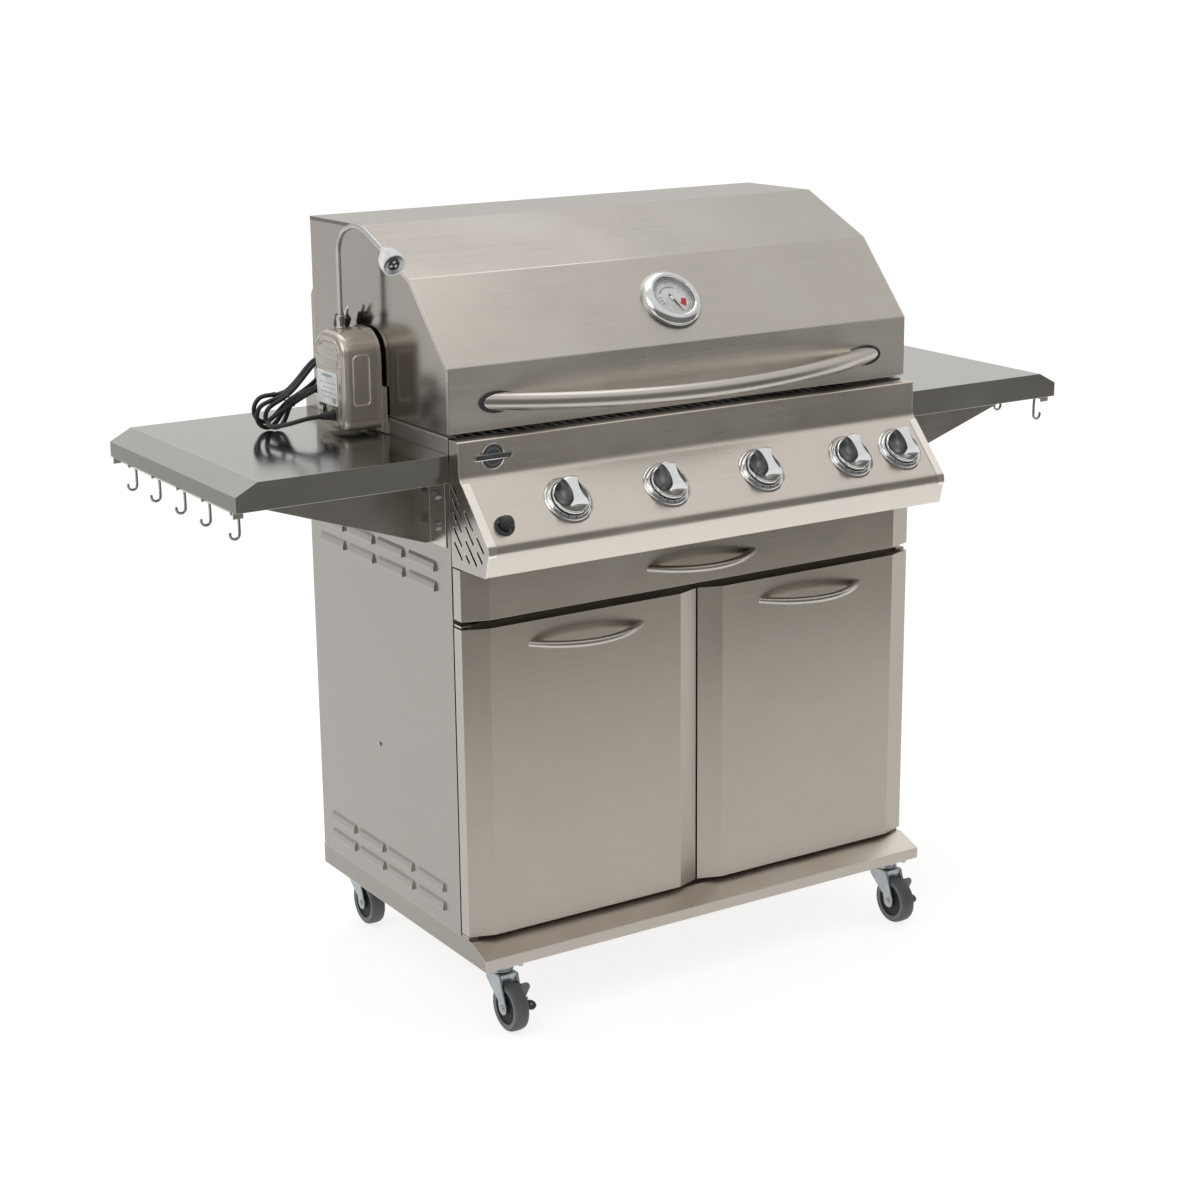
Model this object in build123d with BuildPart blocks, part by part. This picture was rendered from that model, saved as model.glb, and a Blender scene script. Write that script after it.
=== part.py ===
from build123d import *
import os
import math

os.makedirs("parts", exist_ok=True)

# ---------------------------------------------------------------------------
# Gas barbecue grill on a wheeled cabinet.
# Origin: on the floor under the middle of the grill. +X right, -Y front, +Z up.
# Driving dimensions (mm)
# ---------------------------------------------------------------------------
T = 1.5                      # main sheet thickness

TRAY_HW = 418.7              # base tray half width
TRAY_TOP, TRAY_MID, TRAY_BOT = 138.0, 121.9, 104.0
TRAY_YF, TRAY_YT, TRAY_YB = -251.9, -209.0, 291.0

SIDE_IN, SIDE_OUT = 417.0, 418.5     # cabinet side sheet
CAB_YF, CAB_YB = -176.5, 288.8
CAB_TOP = 909.0

DOOR_OUT, DOOR_FLAT, DOOR_IN, DOOR_GAP = 418.8, 378.4, 39.7, 1.7
DOOR_YE, DOOR_YF, DOOR_YB = -202.4, -216.1, -181.0
DOOR_Z0, DOOR_Z1 = 144.5, 628.4
HINGE_X, HINGE_Y, HINGE_R = 410.8, -190.0, 3.0
RUN = 0.05                   # running clearance on radius

DRAWER_Z0, DRAWER_Z1 = 641.0, 719.0

PANEL_HW = 418.4
PANEL = [(-184.0, 909.0), (-206.8, 909.0), (-207.9, 856.2), (-291.3, 767.0), (-280.3, 724.0), (-266.0, 724.0)]
PANEL_R = [3.0, 26.0, 13.0, 2.5]
_dy, _dz = PANEL[2][0] - PANEL[3][0], PANEL[2][1] - PANEL[3][1]
SLOPE_N = (0, -_dz / math.hypot(_dy, _dz), _dy / math.hypot(_dy, _dz))
KNOB_X = [-261.0, -88.0, 88.0, 261.0, 360.0]
KNOB_Y, IGN_X, IGN_Y = -249.3, -380.0, -266.9
KNOB_Z = PANEL[2][1] + (KNOB_Y - PANEL[2][0]) * _dz / _dy
IGN_Z = PANEL[2][1] + (IGN_Y - PANEL[2][0]) * _dz / _dy

FB_X = 405.0                 # firebox half width
FB_YF, FB_YB = -173.5, 250.0
FB_TOP, FB_BOT = 907.4, 738.0

LID_HW = 418.3
LID = [(-170.0, 916.0), (-182.6, 915.0), (-182.3, 1010.7), (-74.5, 1127.8), (73.7, 1192.0), (248.4, 1190.2), (248.4, 1166.0)]
LID_R = [2.0, 5.0, 5.0, 5.0, 3.0]
LID_T = 1.5
PIV_Y, PIV_Z = 200.0, 960.0
_ly, _lz = LID[3][0] - LID[2][0], LID[3][1] - LID[2][1]
LID_N = (0, -_lz / math.hypot(_ly, _lz), _ly / math.hypot(_ly, _lz))
TH_Y = -130.4
TH_Z = LID[2][1] + (TH_Y - LID[2][0]) * _lz / _ly

SH_X0, SH_X1, SH_X2 = 419.2, 719.6, 754.0
SH_YF, SH_YB = -180.0, 280.8
SH_Z, SH_ZB, SH_ZL = 885.9, 867.8, 844.5

RAIL_X, RAIL_Z, RAIL_R = 743.0, 839.0, 2.5
HOOK_Y = [224.0, 133.0, 39.5, -50.0, -149.0]

CASTERS = {"front_left": (-375.0, -222.0), "front_right": (375.0, -222.0),
           "rear_left": (-365.0, 265.0), "rear_right": (365.0, 265.0)}
WHEEL_R, WHEEL_W, OFFSET = 38.0, 24.0, -27.0
AXLE_R = 4.0

MOTOR_X0, MOTOR_X1 = -425.0, -485.0
MOTOR_Y0, MOTOR_Y1 = 18.0, 118.0
MOTOR_Z0, MOTOR_Z1 = 891.0, 1040.0
SPIT_Y, SPIT_Z = 69.0, 925.0

CORD_R = 3.5


def block(x0, x1, y0, y1, z0, z1, mode=Mode.ADD):
    with Locations(((x0 + x1) / 2, (y0 + y1) / 2, (z0 + z1) / 2)):
        Box(abs(x1 - x0), abs(y1 - y0), abs(z1 - z0), mode=mode)


def inset(pts, t):
    # offset an open line to its left by t, with mitred corners
    n = []
    for a, b in zip(pts[:-1], pts[1:]):
        d = math.hypot(b[0] - a[0], b[1] - a[1])
        n.append((-(b[1] - a[1]) / d, (b[0] - a[0]) / d))
    out = [(pts[0][0] + n[0][0] * t, pts[0][1] + n[0][1] * t)]
    for i in range(1, len(pts) - 1):
        mx, my = n[i - 1][0] + n[i][0], n[i - 1][1] + n[i][1]
        k = t * 2 / (mx * mx + my * my)
        out.append((pts[i][0] + mx * k, pts[i][1] + my * k))
    out.append((pts[-1][0] + n[-1][0] * t, pts[-1][1] + n[-1][1] * t))
    return out


def sheet_outline(pts, radii, t):
    # closed outline of a bent sheet, outer face along pts, material to the left
    inner = inset(pts, t)
    ri = []
    for i, r in enumerate(radii):
        a, b, c = pts[i], pts[i + 1], pts[i + 2]
        turn = (b[0] - a[0]) * (c[1] - b[1]) - (b[1] - a[1]) * (c[0] - b[0])
        ri.append(max(r - t, 0.4) if turn > 0 else r + t)
    o = FilletPolyline(*pts, radius=list(radii))
    q = FilletPolyline(*inner, radius=ri)
    Line(o @ 0, q @ 0)
    Line(o @ 1, q @ 1)


def mx(pts, s):
    return [(p[0] * s, p[1]) for p in pts]


# ---------------------------------------------------------------------------
# Base tray: folded pan with a bevelled front, closed below by a flat plate
# ---------------------------------------------------------------------------
with BuildPart() as base_tray:
    with BuildSketch(Plane.YZ):
        Polygon((TRAY_YT, TRAY_TOP), (TRAY_YF, TRAY_MID), (TRAY_YF, TRAY_BOT), (TRAY_YB, TRAY_BOT), (TRAY_YB, TRAY_TOP), align=None)
    extrude(amount=TRAY_HW, both=True)
    with BuildSketch(Plane.YZ):
        Polygon((TRAY_YT + 0.3, TRAY_TOP - T), (TRAY_YF + T, TRAY_MID - 1.1), (TRAY_YF + T, TRAY_BOT - 1), (TRAY_YB - T, TRAY_BOT - 1), (TRAY_YB - T, TRAY_TOP - T), align=None)
    extrude(amount=TRAY_HW - T, both=True, mode=Mode.SUBTRACT)
with BuildPart() as tray_floor:
    block(-TRAY_HW + T, TRAY_HW - T, TRAY_YF + T, TRAY_YB - T, TRAY_BOT, TRAY_BOT + T)
tray_assembly = Compound(children=[base_tray.part, tray_floor.part])
tray_assembly.label = "base_tray"
export_step(tray_assembly, "parts/base_tray.step")

# ---------------------------------------------------------------------------
# Cabinet side sheets with pressed louvres in four rows of four
# ---------------------------------------------------------------------------
LOUVRE_Y = [209.5, 110.0, 12.3, -88.3]
LOUVRE_Z = [710.0, 679.5, 201.0, 170.5]
LOUVRE_L = 81.0
with BuildPart() as cabinet_sides:
    block(-SIDE_OUT, -SIDE_IN, CAB_YF, CAB_YB, TRAY_TOP, CAB_TOP)
    block(SIDE_IN, SIDE_OUT, CAB_YF, CAB_YB, TRAY_TOP, CAB_TOP)
    for s in (-1, 1):
        block(s * SIDE_IN, s * (SIDE_IN - 16), CAB_YB - T, CAB_YB, TRAY_TOP, CAB_TOP)
    for yc in LOUVRE_Y:
        with BuildSketch(Plane.XZ.offset(-yc)):
            for s in (-1, 1):
                for zc in LOUVRE_Z:
                    Polygon(*mx([(SIDE_OUT - 0.2, zc + 9), (SIDE_OUT + 2.6, zc + 4), (SIDE_OUT + 4.2, zc - 3), (SIDE_OUT + 4.2, zc - 8), (SIDE_OUT - 0.2, zc - 8)], s), align=None)
        extrude(amount=LOUVRE_L / 2, both=True)
        with BuildSketch(Plane.XZ.offset(-yc)):
            for s in (-1, 1):
                for zc in LOUVRE_Z:
                    Polygon(*mx([(SIDE_IN - 1, zc + 5), (SIDE_OUT + 1.2, zc + 2), (SIDE_OUT + 3.0, zc - 4), (SIDE_OUT + 3.0, zc - 9), (SIDE_IN - 1, zc - 7)], s), align=None)
        extrude(amount=LOUVRE_L / 2 - 4, both=True, mode=Mode.SUBTRACT)
cabinet_sides.part.label = "cabinet_sides"
export_step(cabinet_sides.part, "parts/cabinet_sides.step")

with BuildPart() as cabinet_back:
    block(-SIDE_IN, SIDE_IN, CAB_YB, CAB_YB + T, TRAY_TOP, 904.5)
    for xc in (-270, -90, 90, 270):
        for zc in (210, 240, 640, 670):
            block(xc - 60, xc + 60, CAB_YB - 1, CAB_YB + T + 1, zc - 4, zc + 4, mode=Mode.SUBTRACT)
cabinet_back.part.label = "cabinet_back"
export_step(cabinet_back.part, "parts/cabinet_back.step")

# ---------------------------------------------------------------------------
# Front frame: rails, stiles, door hinge tabs with pins, drawer runners
# ---------------------------------------------------------------------------
with BuildPart() as front_frame:
    block(-399.8, 399.8, CAB_YF, -160, 630, 638)                      # rail between drawer and doors
    block(-399.8, 399.8, CAB_YF, -172, 722, 735)                      # rail under the control panel
    block(-399.8, 399.8, CAB_YF, -173, TRAY_TOP, 158)                 # sill
    for s in (-1, 1):
        block(s * 400, s * 416.9, CAB_YF, -172, TRAY_TOP + 3.6, 629.9)    # lower stile
        block(s * 400, s * 416.9, CAB_YF, -172, 633.1, 735)               # upper stile
        block(s * 400, s * 416.9, -198, -172, 630, 633)                   # upper hinge tab
        block(s * 400, s * 416.9, -198, -172, TRAY_TOP, TRAY_TOP + 3.5)   # lower hinge tab
        block(s * 388.5, s * 416.9, -171.5, 285, 694, 698.0)              # drawer runner
        with Locations((s * HINGE_X, HINGE_Y, 623)):
            Cylinder(HINGE_R, 16)
        with Locations((s * HINGE_X, HINGE_Y, 148)):
            Cylinder(HINGE_R, 18)
front_frame.part.label = "front_frame"
export_step(front_frame.part, "parts/front_frame.step")

# ---------------------------------------------------------------------------
# Doors: bevelled pans closed by a flat liner, bored for the hinge pins
# ---------------------------------------------------------------------------
DOOR_PTS = [(DOOR_OUT, DOOR_YB), (DOOR_OUT, DOOR_YE), (DOOR_FLAT, DOOR_YF), (DOOR_IN, DOOR_YF), (DOOR_GAP, DOOR_YE), (DOOR_GAP, DOOR_YB)]
DOOR_INS = [(DOOR_OUT - T, DOOR_YB + 1), (DOOR_OUT - T, DOOR_YE + 1.05), (DOOR_FLAT - 0.3, DOOR_YF + T), (DOOR_IN + 0.3, DOOR_YF + T), (DOOR_GAP + T, DOOR_YE + 1.05), (DOOR_GAP + T, DOOR_YB + 1)]

with BuildPart() as door_left_pan:
    with BuildSketch(Plane.XY.offset(DOOR_Z0)):
        Polygon(*mx(DOOR_PTS, -1), align=None)
    extrude(amount=DOOR_Z1 - DOOR_Z0)
    with BuildSketch(Plane.XY.offset(DOOR_Z0 + T)):
        Polygon(*mx(DOOR_INS, -1), align=None)
    extrude(amount=DOOR_Z1 - DOOR_Z0 - 2 * T, mode=Mode.SUBTRACT)
    with Locations((-HINGE_X, HINGE_Y, (DOOR_Z0 + DOOR_Z1) / 2)):
        Cylinder(HINGE_R + RUN, DOOR_Z1 - DOOR_Z0 + 4, mode=Mode.SUBTRACT)
with BuildPart() as door_left_liner:
    block(-DOOR_OUT + T, -DOOR_GAP - T, DOOR_YB - T, DOOR_YB, DOOR_Z0 + T, DOOR_Z1 - T)
door_left = Compound(children=[door_left_pan.part, door_left_liner.part])
door_left.label = "door_left"
export_step(door_left, "parts/door_left.step")

with BuildPart() as door_right_pan:
    with BuildSketch(Plane.XY.offset(DOOR_Z0)):
        Polygon(*DOOR_PTS, align=None)
    extrude(amount=DOOR_Z1 - DOOR_Z0)
    with BuildSketch(Plane.XY.offset(DOOR_Z0 + T)):
        Polygon(*DOOR_INS, align=None)
    extrude(amount=DOOR_Z1 - DOOR_Z0 - 2 * T, mode=Mode.SUBTRACT)
    with Locations((HINGE_X, HINGE_Y, (DOOR_Z0 + DOOR_Z1) / 2)):
        Cylinder(HINGE_R + RUN, DOOR_Z1 - DOOR_Z0 + 4, mode=Mode.SUBTRACT)
with BuildPart() as door_right_liner:
    block(DOOR_GAP + T, DOOR_OUT - T, DOOR_YB - T, DOOR_YB, DOOR_Z0 + T, DOOR_Z1 - T)
door_right = Compound(children=[door_right_pan.part, door_right_liner.part])
door_right.label = "door_right"
export_step(door_right, "parts/door_right.step")

# ---------------------------------------------------------------------------
# Drip drawer: full-width front, and the shallow pan behind it
# ---------------------------------------------------------------------------
DR_PTS = [(DOOR_OUT, DOOR_YB), (DOOR_OUT, DOOR_YE), (DOOR_FLAT, DOOR_YF), (-DOOR_FLAT, DOOR_YF), (-DOOR_OUT, DOOR_YE), (-DOOR_OUT, DOOR_YB)]
DR_INS = [(DOOR_OUT - T, DOOR_YB + 1), (DOOR_OUT - T, DOOR_YE + 1.05), (DOOR_FLAT - 0.3, DOOR_YF + T), (-DOOR_FLAT + 0.3, DOOR_YF + T), (-DOOR_OUT + T, DOOR_YE + 1.05), (-DOOR_OUT + T, DOOR_YB + 1)]
with BuildPart() as drawer_pan_front:
    with BuildSketch(Plane.XY.offset(DRAWER_Z0)):
        Polygon(*DR_PTS, align=None)
    extrude(amount=DRAWER_Z1 - DRAWER_Z0)
    with BuildSketch(Plane.XY.offset(DRAWER_Z0 + T)):
        Polygon(*DR_INS, align=None)
    extrude(amount=DRAWER_Z1 - DRAWER_Z0 - 2 * T, mode=Mode.SUBTRACT)
with BuildPart() as drawer_liner:
    block(-DOOR_OUT + T, DOOR_OUT - T, DOOR_YB - T, DOOR_YB, DRAWER_Z0 + T, DRAWER_Z1 - T)
drawer_front = Compound(children=[drawer_pan_front.part, drawer_liner.part])
drawer_front.label = "drawer_front"
export_step(drawer_front, "parts/drawer_front.step")

with BuildPart() as drip_pan:
    block(-386, 386, DOOR_YB, 230, 652, 699.9)
    block(-384.8, 384.8, DOOR_YB + 1.2, 228.8, 653.2, 701, mode=Mode.SUBTRACT)
    for s in (-1, 1):
        block(s * 385.5, s * 399, -171, 230, 698.5, 699.9)            # side flange that rides on the runner
drip_pan.part.label = "drip_pan"
export_step(drip_pan.part, "parts/drip_pan.step")

# ---------------------------------------------------------------------------
# Bowed tube handles on doors and drawer
# ---------------------------------------------------------------------------
DH_R = 6.0


def bowed_handle(x0, x1, z0, z1, bow):
    xm = (x0 + x1) / 2
    with BuildLine() as path:
        ThreePointArc((x0, DOOR_YF + 3, z0), (xm, DOOR_YF - bow, z1), (x1, DOOR_YF + 3, z0))
    with BuildSketch(Plane(origin=path.line @ 0, z_dir=path.line % 0)) as section:
        Circle(DH_R)
    sweep(section.sketch, path=path.line)
    block(x0 - 40, x1 + 40, DOOR_YF, DOOR_YF + 40, z0 - 30, z0 + 30, mode=Mode.SUBTRACT)


with BuildPart() as door_left_handle:
    bowed_handle(-307.3, -112.6, 593.0, 590.5, 36)
door_left_handle.part.label = "door_left_handle"
export_step(door_left_handle.part, "parts/door_left_handle.step")

with BuildPart() as door_right_handle:
    bowed_handle(115.6, 307.3, 593.0, 590.5, 36)
door_right_handle.part.label = "door_right_handle"
export_step(door_right_handle.part, "parts/door_right_handle.step")

with BuildPart() as drawer_handle:
    bowed_handle(-96.0, 98.0, 676.5, 674.0, 36)
drawer_handle.part.label = "drawer_handle"
export_step(drawer_handle.part, "parts/drawer_handle.step")

# ---------------------------------------------------------------------------
# Firebox: separate folded walls, a split floor that drains to the pan, ledges
# ---------------------------------------------------------------------------
with BuildPart() as fb_front:
    block(-FB_X, FB_X, FB_YF, FB_YF + T, FB_BOT, FB_TOP)
with BuildPart() as fb_back:
    block(-FB_X, FB_X, FB_YB - T, FB_YB, FB_BOT, FB_TOP)
with BuildPart() as fb_left:
    block(-FB_X, -FB_X + T, FB_YF + T, FB_YB - T, FB_BOT, FB_TOP)
with BuildPart() as fb_right:
    block(FB_X - T, FB_X, FB_YF + T, FB_YB - T, FB_BOT, FB_TOP)
with BuildPart() as fb_floor_front:
    with BuildSketch(Plane.YZ):
        Polygon((FB_YF, FB_BOT), (14, 712), (14, 710), (FB_YF, FB_BOT - 2), align=None)
    extrude(amount=FB_X, both=True)
with BuildPart() as fb_floor_back:
    with BuildSketch(Plane.YZ):
        Polygon((FB_YB, FB_BOT), (62, 712), (62, 710), (FB_YB, FB_BOT - 2), align=None)
    extrude(amount=FB_X, both=True)
with BuildPart() as fb_ledge_front:
    block(-FB_X + T, FB_X - T, FB_YF + T, FB_YF + T + 12, 868, 870)
with BuildPart() as fb_ledge_back:
    block(-FB_X + T, FB_X - T, FB_YB - T - 12, FB_YB - T, 868, 870)
with BuildPart() as fb_rim_left:
    block(-SIDE_OUT, -FB_X + T, CAB_YF, CAB_YB, 909.0, 910.4)
    block(-FB_X, -FB_X + T, FB_YF, FB_YB, FB_TOP, 909.0)
with BuildPart() as fb_rim_right:
    block(FB_X - T, SIDE_OUT, CAB_YF, CAB_YB, 909.0, 910.4)
    block(FB_X - T, FB_X, FB_YF, FB_YB, FB_TOP, 909.0)
firebox = Compound(children=[p.part for p in (fb_front, fb_back, fb_left, fb_right, fb_floor_front, fb_floor_back, fb_ledge_front, fb_ledge_back, fb_rim_left, fb_rim_right)])
firebox.label = "firebox"
export_step(firebox, "parts/firebox.step")

# ---------------------------------------------------------------------------
# Fixed rear hood: folded back wall and two side plates inside the lid ends
# ---------------------------------------------------------------------------
HOOD = [(236.0, 1102.0), (248.0, 1090.0), (265.0, 1066.0), (265.0, 910.4)]
with BuildPart() as hood_back:
    with BuildSketch(Plane.YZ):
        with BuildLine():
            sheet_outline(HOOD, [4, 4], -1.4)
        make_face()
    extrude(amount=414.0, both=True)
with BuildPart() as hood_left:
    with BuildSketch(Plane.YZ.offset(-414.0)):
        Polygon((182, 910.4), (182, 990), (234, 1099), (246.6, 1088), (263.4, 1065), (263.4, 910.4), align=None)
    extrude(amount=1.4)
with BuildPart() as hood_right:
    with BuildSketch(Plane.YZ.offset(412.6)):
        Polygon((182, 910.4), (182, 990), (234, 1099), (246.6, 1088), (263.4, 1065), (263.4, 910.4), align=None)
    extrude(amount=1.4)
for side in (hood_left, hood_right):
    with side:
        with Locations(Location((0, PIV_Y, PIV_Z), (0, 90, 0))):
            Cylinder(4 + RUN, 900, mode=Mode.SUBTRACT)
rear_hood = Compound(children=[p.part for p in (hood_back, hood_left, hood_right)])
rear_hood.label = "rear_hood"
export_step(rear_hood, "parts/rear_hood.step")

# ---------------------------------------------------------------------------
# Control panel: rolled fascia between two slotted end plates
# ---------------------------------------------------------------------------
END_PTS = [(-182.0, 909.0), (-206.4, 909.0), (-207.9, 856.2), (-291.0, 767.5), (-280.3, 723.6), (-182.0, 721.5)]
SLOTS = [((-200.0, 831.2), 33), ((-200.4, 811.3), 33), ((-201.3, 790.7), 34), ((-201.0, 769.4), 34), ((-201.4, 748.6), 34),
         ((-234.0, 799.1), 34), ((-235.4, 778.3), 34), ((-239.2, 752.8), 46), ((-228.4, 742.2), 17),
         ((-265.7, 770.0), 30), ((-263.8, 751.2), 22)]
SLOT_A = 45.5
with BuildPart() as fascia:
    with BuildSketch(Plane.YZ):
        with BuildLine():
            sheet_outline(PANEL, PANEL_R, 1.5)
        make_face()
    extrude(amount=PANEL_HW - 0.1, both=True)
    for kx in KNOB_X:
        with Locations(Plane(origin=(kx, KNOB_Y, KNOB_Z), x_dir=(1, 0, 0), z_dir=SLOPE_N)):
            Cylinder(6, 12, mode=Mode.SUBTRACT)
    with Locations(Plane(origin=(IGN_X, IGN_Y, IGN_Z), x_dir=(1, 0, 0), z_dir=SLOPE_N)):
        Cylinder(9.4, 12, mode=Mode.SUBTRACT)
with BuildPart() as end_left:
    with BuildSketch(Plane.YZ.offset(-PANEL_HW - 1.6)):
        Polygon(*END_PTS, align=None)
        for (cy, cz), ln in SLOTS:
            with Locations((cy, cz)):
                SlotOverall(ln, 5.5, rotation=SLOT_A, mode=Mode.SUBTRACT)
    extrude(amount=1.6)
with BuildPart() as end_right:
    with BuildSketch(Plane.YZ.offset(PANEL_HW)):
        Polygon(*END_PTS, align=None)
        for (cy, cz), ln in SLOTS:
            with Locations((cy, cz)):
                SlotOverall(ln, 5.5, rotation=SLOT_A, mode=Mode.SUBTRACT)
    extrude(amount=1.6)
control_panel = Compound(children=[p.part for p in (fascia, end_left, end_right)])
control_panel.label = "control_panel"
export_step(control_panel, "parts/control_panel.step")

with BuildPart() as control_bezels:
    for kx in KNOB_X:
        with Locations(Plane(origin=(kx, KNOB_Y, KNOB_Z), x_dir=(1, 0, 0), z_dir=SLOPE_N)):
            with Locations((0, 0, 0.05)):
                Cone(39, 30, 8, align=(Align.CENTER, Align.CENTER, Align.MIN))
            Cylinder(26.5, 24, mode=Mode.SUBTRACT)
    with Locations(Plane(origin=(IGN_X, IGN_Y, IGN_Z), x_dir=(1, 0, 0), z_dir=SLOPE_N)):
        with Locations((0, 0, 0.05)):
            Cone(12.5, 11.5, 5, align=(Align.CENTER, Align.CENTER, Align.MIN))
        Cylinder(9.35, 24, mode=Mode.SUBTRACT)
control_bezels.part.label = "control_bezels"
export_step(control_bezels.part, "parts/control_bezels.step")


def knob_shape(kx):
    with Locations(Plane(origin=(kx, KNOB_Y, KNOB_Z), x_dir=(1, 0, 0), z_dir=SLOPE_N)):
        with Locations((0, 0, 2.2)):
            Cone(26.0, 24.5, 8, align=(Align.CENTER, Align.CENTER, Align.MIN))
        with Locations((0, 0, 10.0)):
            Cone(24.0, 21.0, 9, align=(Align.CENTER, Align.CENTER, Align.MIN))
        with Locations((0, -2, 18.0)):
            Box(13, 47, 9, align=(Align.CENTER, Align.CENTER, Align.MIN))
        with Locations((0, 0, 2.0)):
            Cylinder(4 + RUN, 13, align=(Align.CENTER, Align.CENTER, Align.MIN), mode=Mode.SUBTRACT)


with BuildPart() as knob_1:
    knob_shape(KNOB_X[0])
knob_1.part.label = "knob_1"
export_step(knob_1.part, "parts/knob_1.step")
with BuildPart() as knob_2:
    knob_shape(KNOB_X[1])
knob_2.part.label = "knob_2"
export_step(knob_2.part, "parts/knob_2.step")
with BuildPart() as knob_3:
    knob_shape(KNOB_X[2])
knob_3.part.label = "knob_3"
export_step(knob_3.part, "parts/knob_3.step")
with BuildPart() as knob_4:
    knob_shape(KNOB_X[3])
knob_4.part.label = "knob_4"
export_step(knob_4.part, "parts/knob_4.step")
with BuildPart() as knob_5:
    knob_shape(KNOB_X[4])
knob_5.part.label = "knob_5"
export_step(knob_5.part, "parts/knob_5.step")

with BuildPart() as igniter_button:
    with Locations(Plane(origin=(IGN_X, IGN_Y, IGN_Z), x_dir=(1, 0, 0), z_dir=SLOPE_N)):
        with Locations((0, 0, -6)):
            Cylinder(9.0, 19, align=(Align.CENTER, Align.CENTER, Align.MIN))
    fillet(igniter_button.faces().sort_by(Axis((0, 0, 0), SLOPE_N))[-1].edges(), 1.5)
igniter_button.part.label = "igniter_button"
export_step(igniter_button.part, "parts/igniter_button.step")

with BuildPart() as name_plate:
    with BuildSketch(Plane.XZ.offset(207.75)):
        with Locations((-362, 882.5)):
            Ellipse(31, 16)
    extrude(amount=1.6)
name_plate.part.label = "name_plate"
export_step(name_plate.part, "parts/name_plate.step")

# ---------------------------------------------------------------------------
# Gas train: manifold pipe with five valves whose stems carry the knobs
# ---------------------------------------------------------------------------
with BuildPart() as gas_manifold:
    with Locations(Location((0, -209.2, 774.2), (0, 90, 0))):
        Cylinder(10, 800)
    for kx in KNOB_X:
        with Locations(Plane(origin=(kx, KNOB_Y, KNOB_Z), x_dir=(1, 0, 0), z_dir=SLOPE_N)):
            with Locations((0, 0, -55)):
                Cylinder(12, 42, align=(Align.CENTER, Align.CENTER, Align.MIN))
            with Locations((0, 0, -16)):
                Cylinder(4, 28, align=(Align.CENTER, Align.CENTER, Align.MIN))
gas_manifold.part.label = "gas_manifold"
export_step(gas_manifold.part, "parts/gas_manifold.step")

# ---------------------------------------------------------------------------
# Burners, flame tamers, grates, warming rack
# ---------------------------------------------------------------------------
with BuildPart() as burners:
    for bx in (-261.0, -88.0, 88.0, 261.0):
        with Locations(Location((bx, (FB_YF + FB_YB) / 2, 800), (90, 0, 0))):
            Cylinder(17, FB_YB - FB_YF - 2 * T)
            Cylinder(15.5, FB_YB - FB_YF - 2 * T - 6, mode=Mode.SUBTRACT)
    block(-285, 285, 243, 263.4, 946, 1034)
burners.part.label = "burners"
export_step(burners.part, "parts/burners.step")

with BuildPart() as flame_tamers:
    with BuildSketch(Plane.XZ.offset(-(FB_YB - T))):
        for bx in (-261.0, -88.0, 88.0, 261.0):
            Polygon((bx - 62, 826), (bx, 856), (bx + 62, 826), (bx + 62, 824.4), (bx, 854.2), (bx - 62, 824.4), align=None)
    extrude(amount=FB_YB - FB_YF - 2 * T)
flame_tamers.part.label = "flame_tamers"
export_step(flame_tamers.part, "parts/flame_tamers.step")

with BuildPart() as cooking_grates:
    for g in range(4):
        gx0 = -398 + g * 200
        for yb in (-165, -30, 105, 241):
            block(gx0, gx0 + 196, yb - 3, yb + 3, 870.1, 880)
        for i in range(11):
            xb = gx0 + 4 + i * 18.8
            block(xb - 3, xb + 3, -168, 244, 876, 886)
cooking_grates.part.label = "cooking_grates"
export_step(cooking_grates.part, "parts/cooking_grates.step")

with BuildPart() as warming_rack:
    for s in (-1, 1):
        for yl in (132, 222):
            block(s * 399.5, s * 403.4, yl - 4, yl + 4, 850, 1012)
        block(s * 396.0, s * 399.6, 128, 226, 1004, 1012)
    for i in range(6):
        yr = 131 + i * 18.4
        block(-399, 399, yr - 2, yr + 2, 1006, 1011)
    for xc in (-200, 0, 200):
        block(xc - 2, xc + 2, 129, 225, 1003, 1007)
warming_rack.part.label = "warming_rack"
export_step(warming_rack.part, "parts/warming_rack.step")

# ---------------------------------------------------------------------------
# Lid: folded skin with end plates in one welded shell, spit notches, pivot holes
# ---------------------------------------------------------------------------
CORNER_R = 46.0
with BuildPart() as lid_shell:
    with BuildSketch(Plane.YZ):
        with BuildLine():
            sheet_outline(LID, LID_R, -LID_T)
        make_face()
    extrude(amount=LID_HW, both=True)
    for s in (-1, 1):
        with BuildSketch(Plane.YZ.offset(s * LID_HW)):
            with BuildLine():
                Polyline((PIV_Y, PIV_Z - 45.0), (-181.6, 915.0), (-181.4, 1010.3), (-74.0, 1126.8), (74.0, 1191.0), (248.0, 1189.2), (248.0, PIV_Z))
                RadiusArc((248.0, PIV_Z), (PIV_Y, PIV_Z - 45.0), 46.6)
            make_face()
        extrude(amount=-s * LID_T)
    with Locations(Location((0, PIV_Y, PIV_Z), (0, 90, 0))):
        Cylinder(4 + RUN, 2 * LID_HW + 20, mode=Mode.SUBTRACT)
    with Locations(Location((0, SPIT_Y, SPIT_Z), (0, 90, 0))):
        Cylinder(9, 2 * LID_HW + 20, mode=Mode.SUBTRACT)
    block(-LID_HW - 5, LID_HW + 5, SPIT_Y - 9, SPIT_Y + 9, 905, SPIT_Z, mode=Mode.SUBTRACT)
    with Locations(Plane(origin=(0, TH_Y, TH_Z), x_dir=(1, 0, 0), z_dir=LID_N)):
        Cylinder(3.4, 12, mode=Mode.SUBTRACT)
lid_shell.part.label = "lid_shell"
export_step(lid_shell.part, "parts/lid_shell.step")

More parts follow.
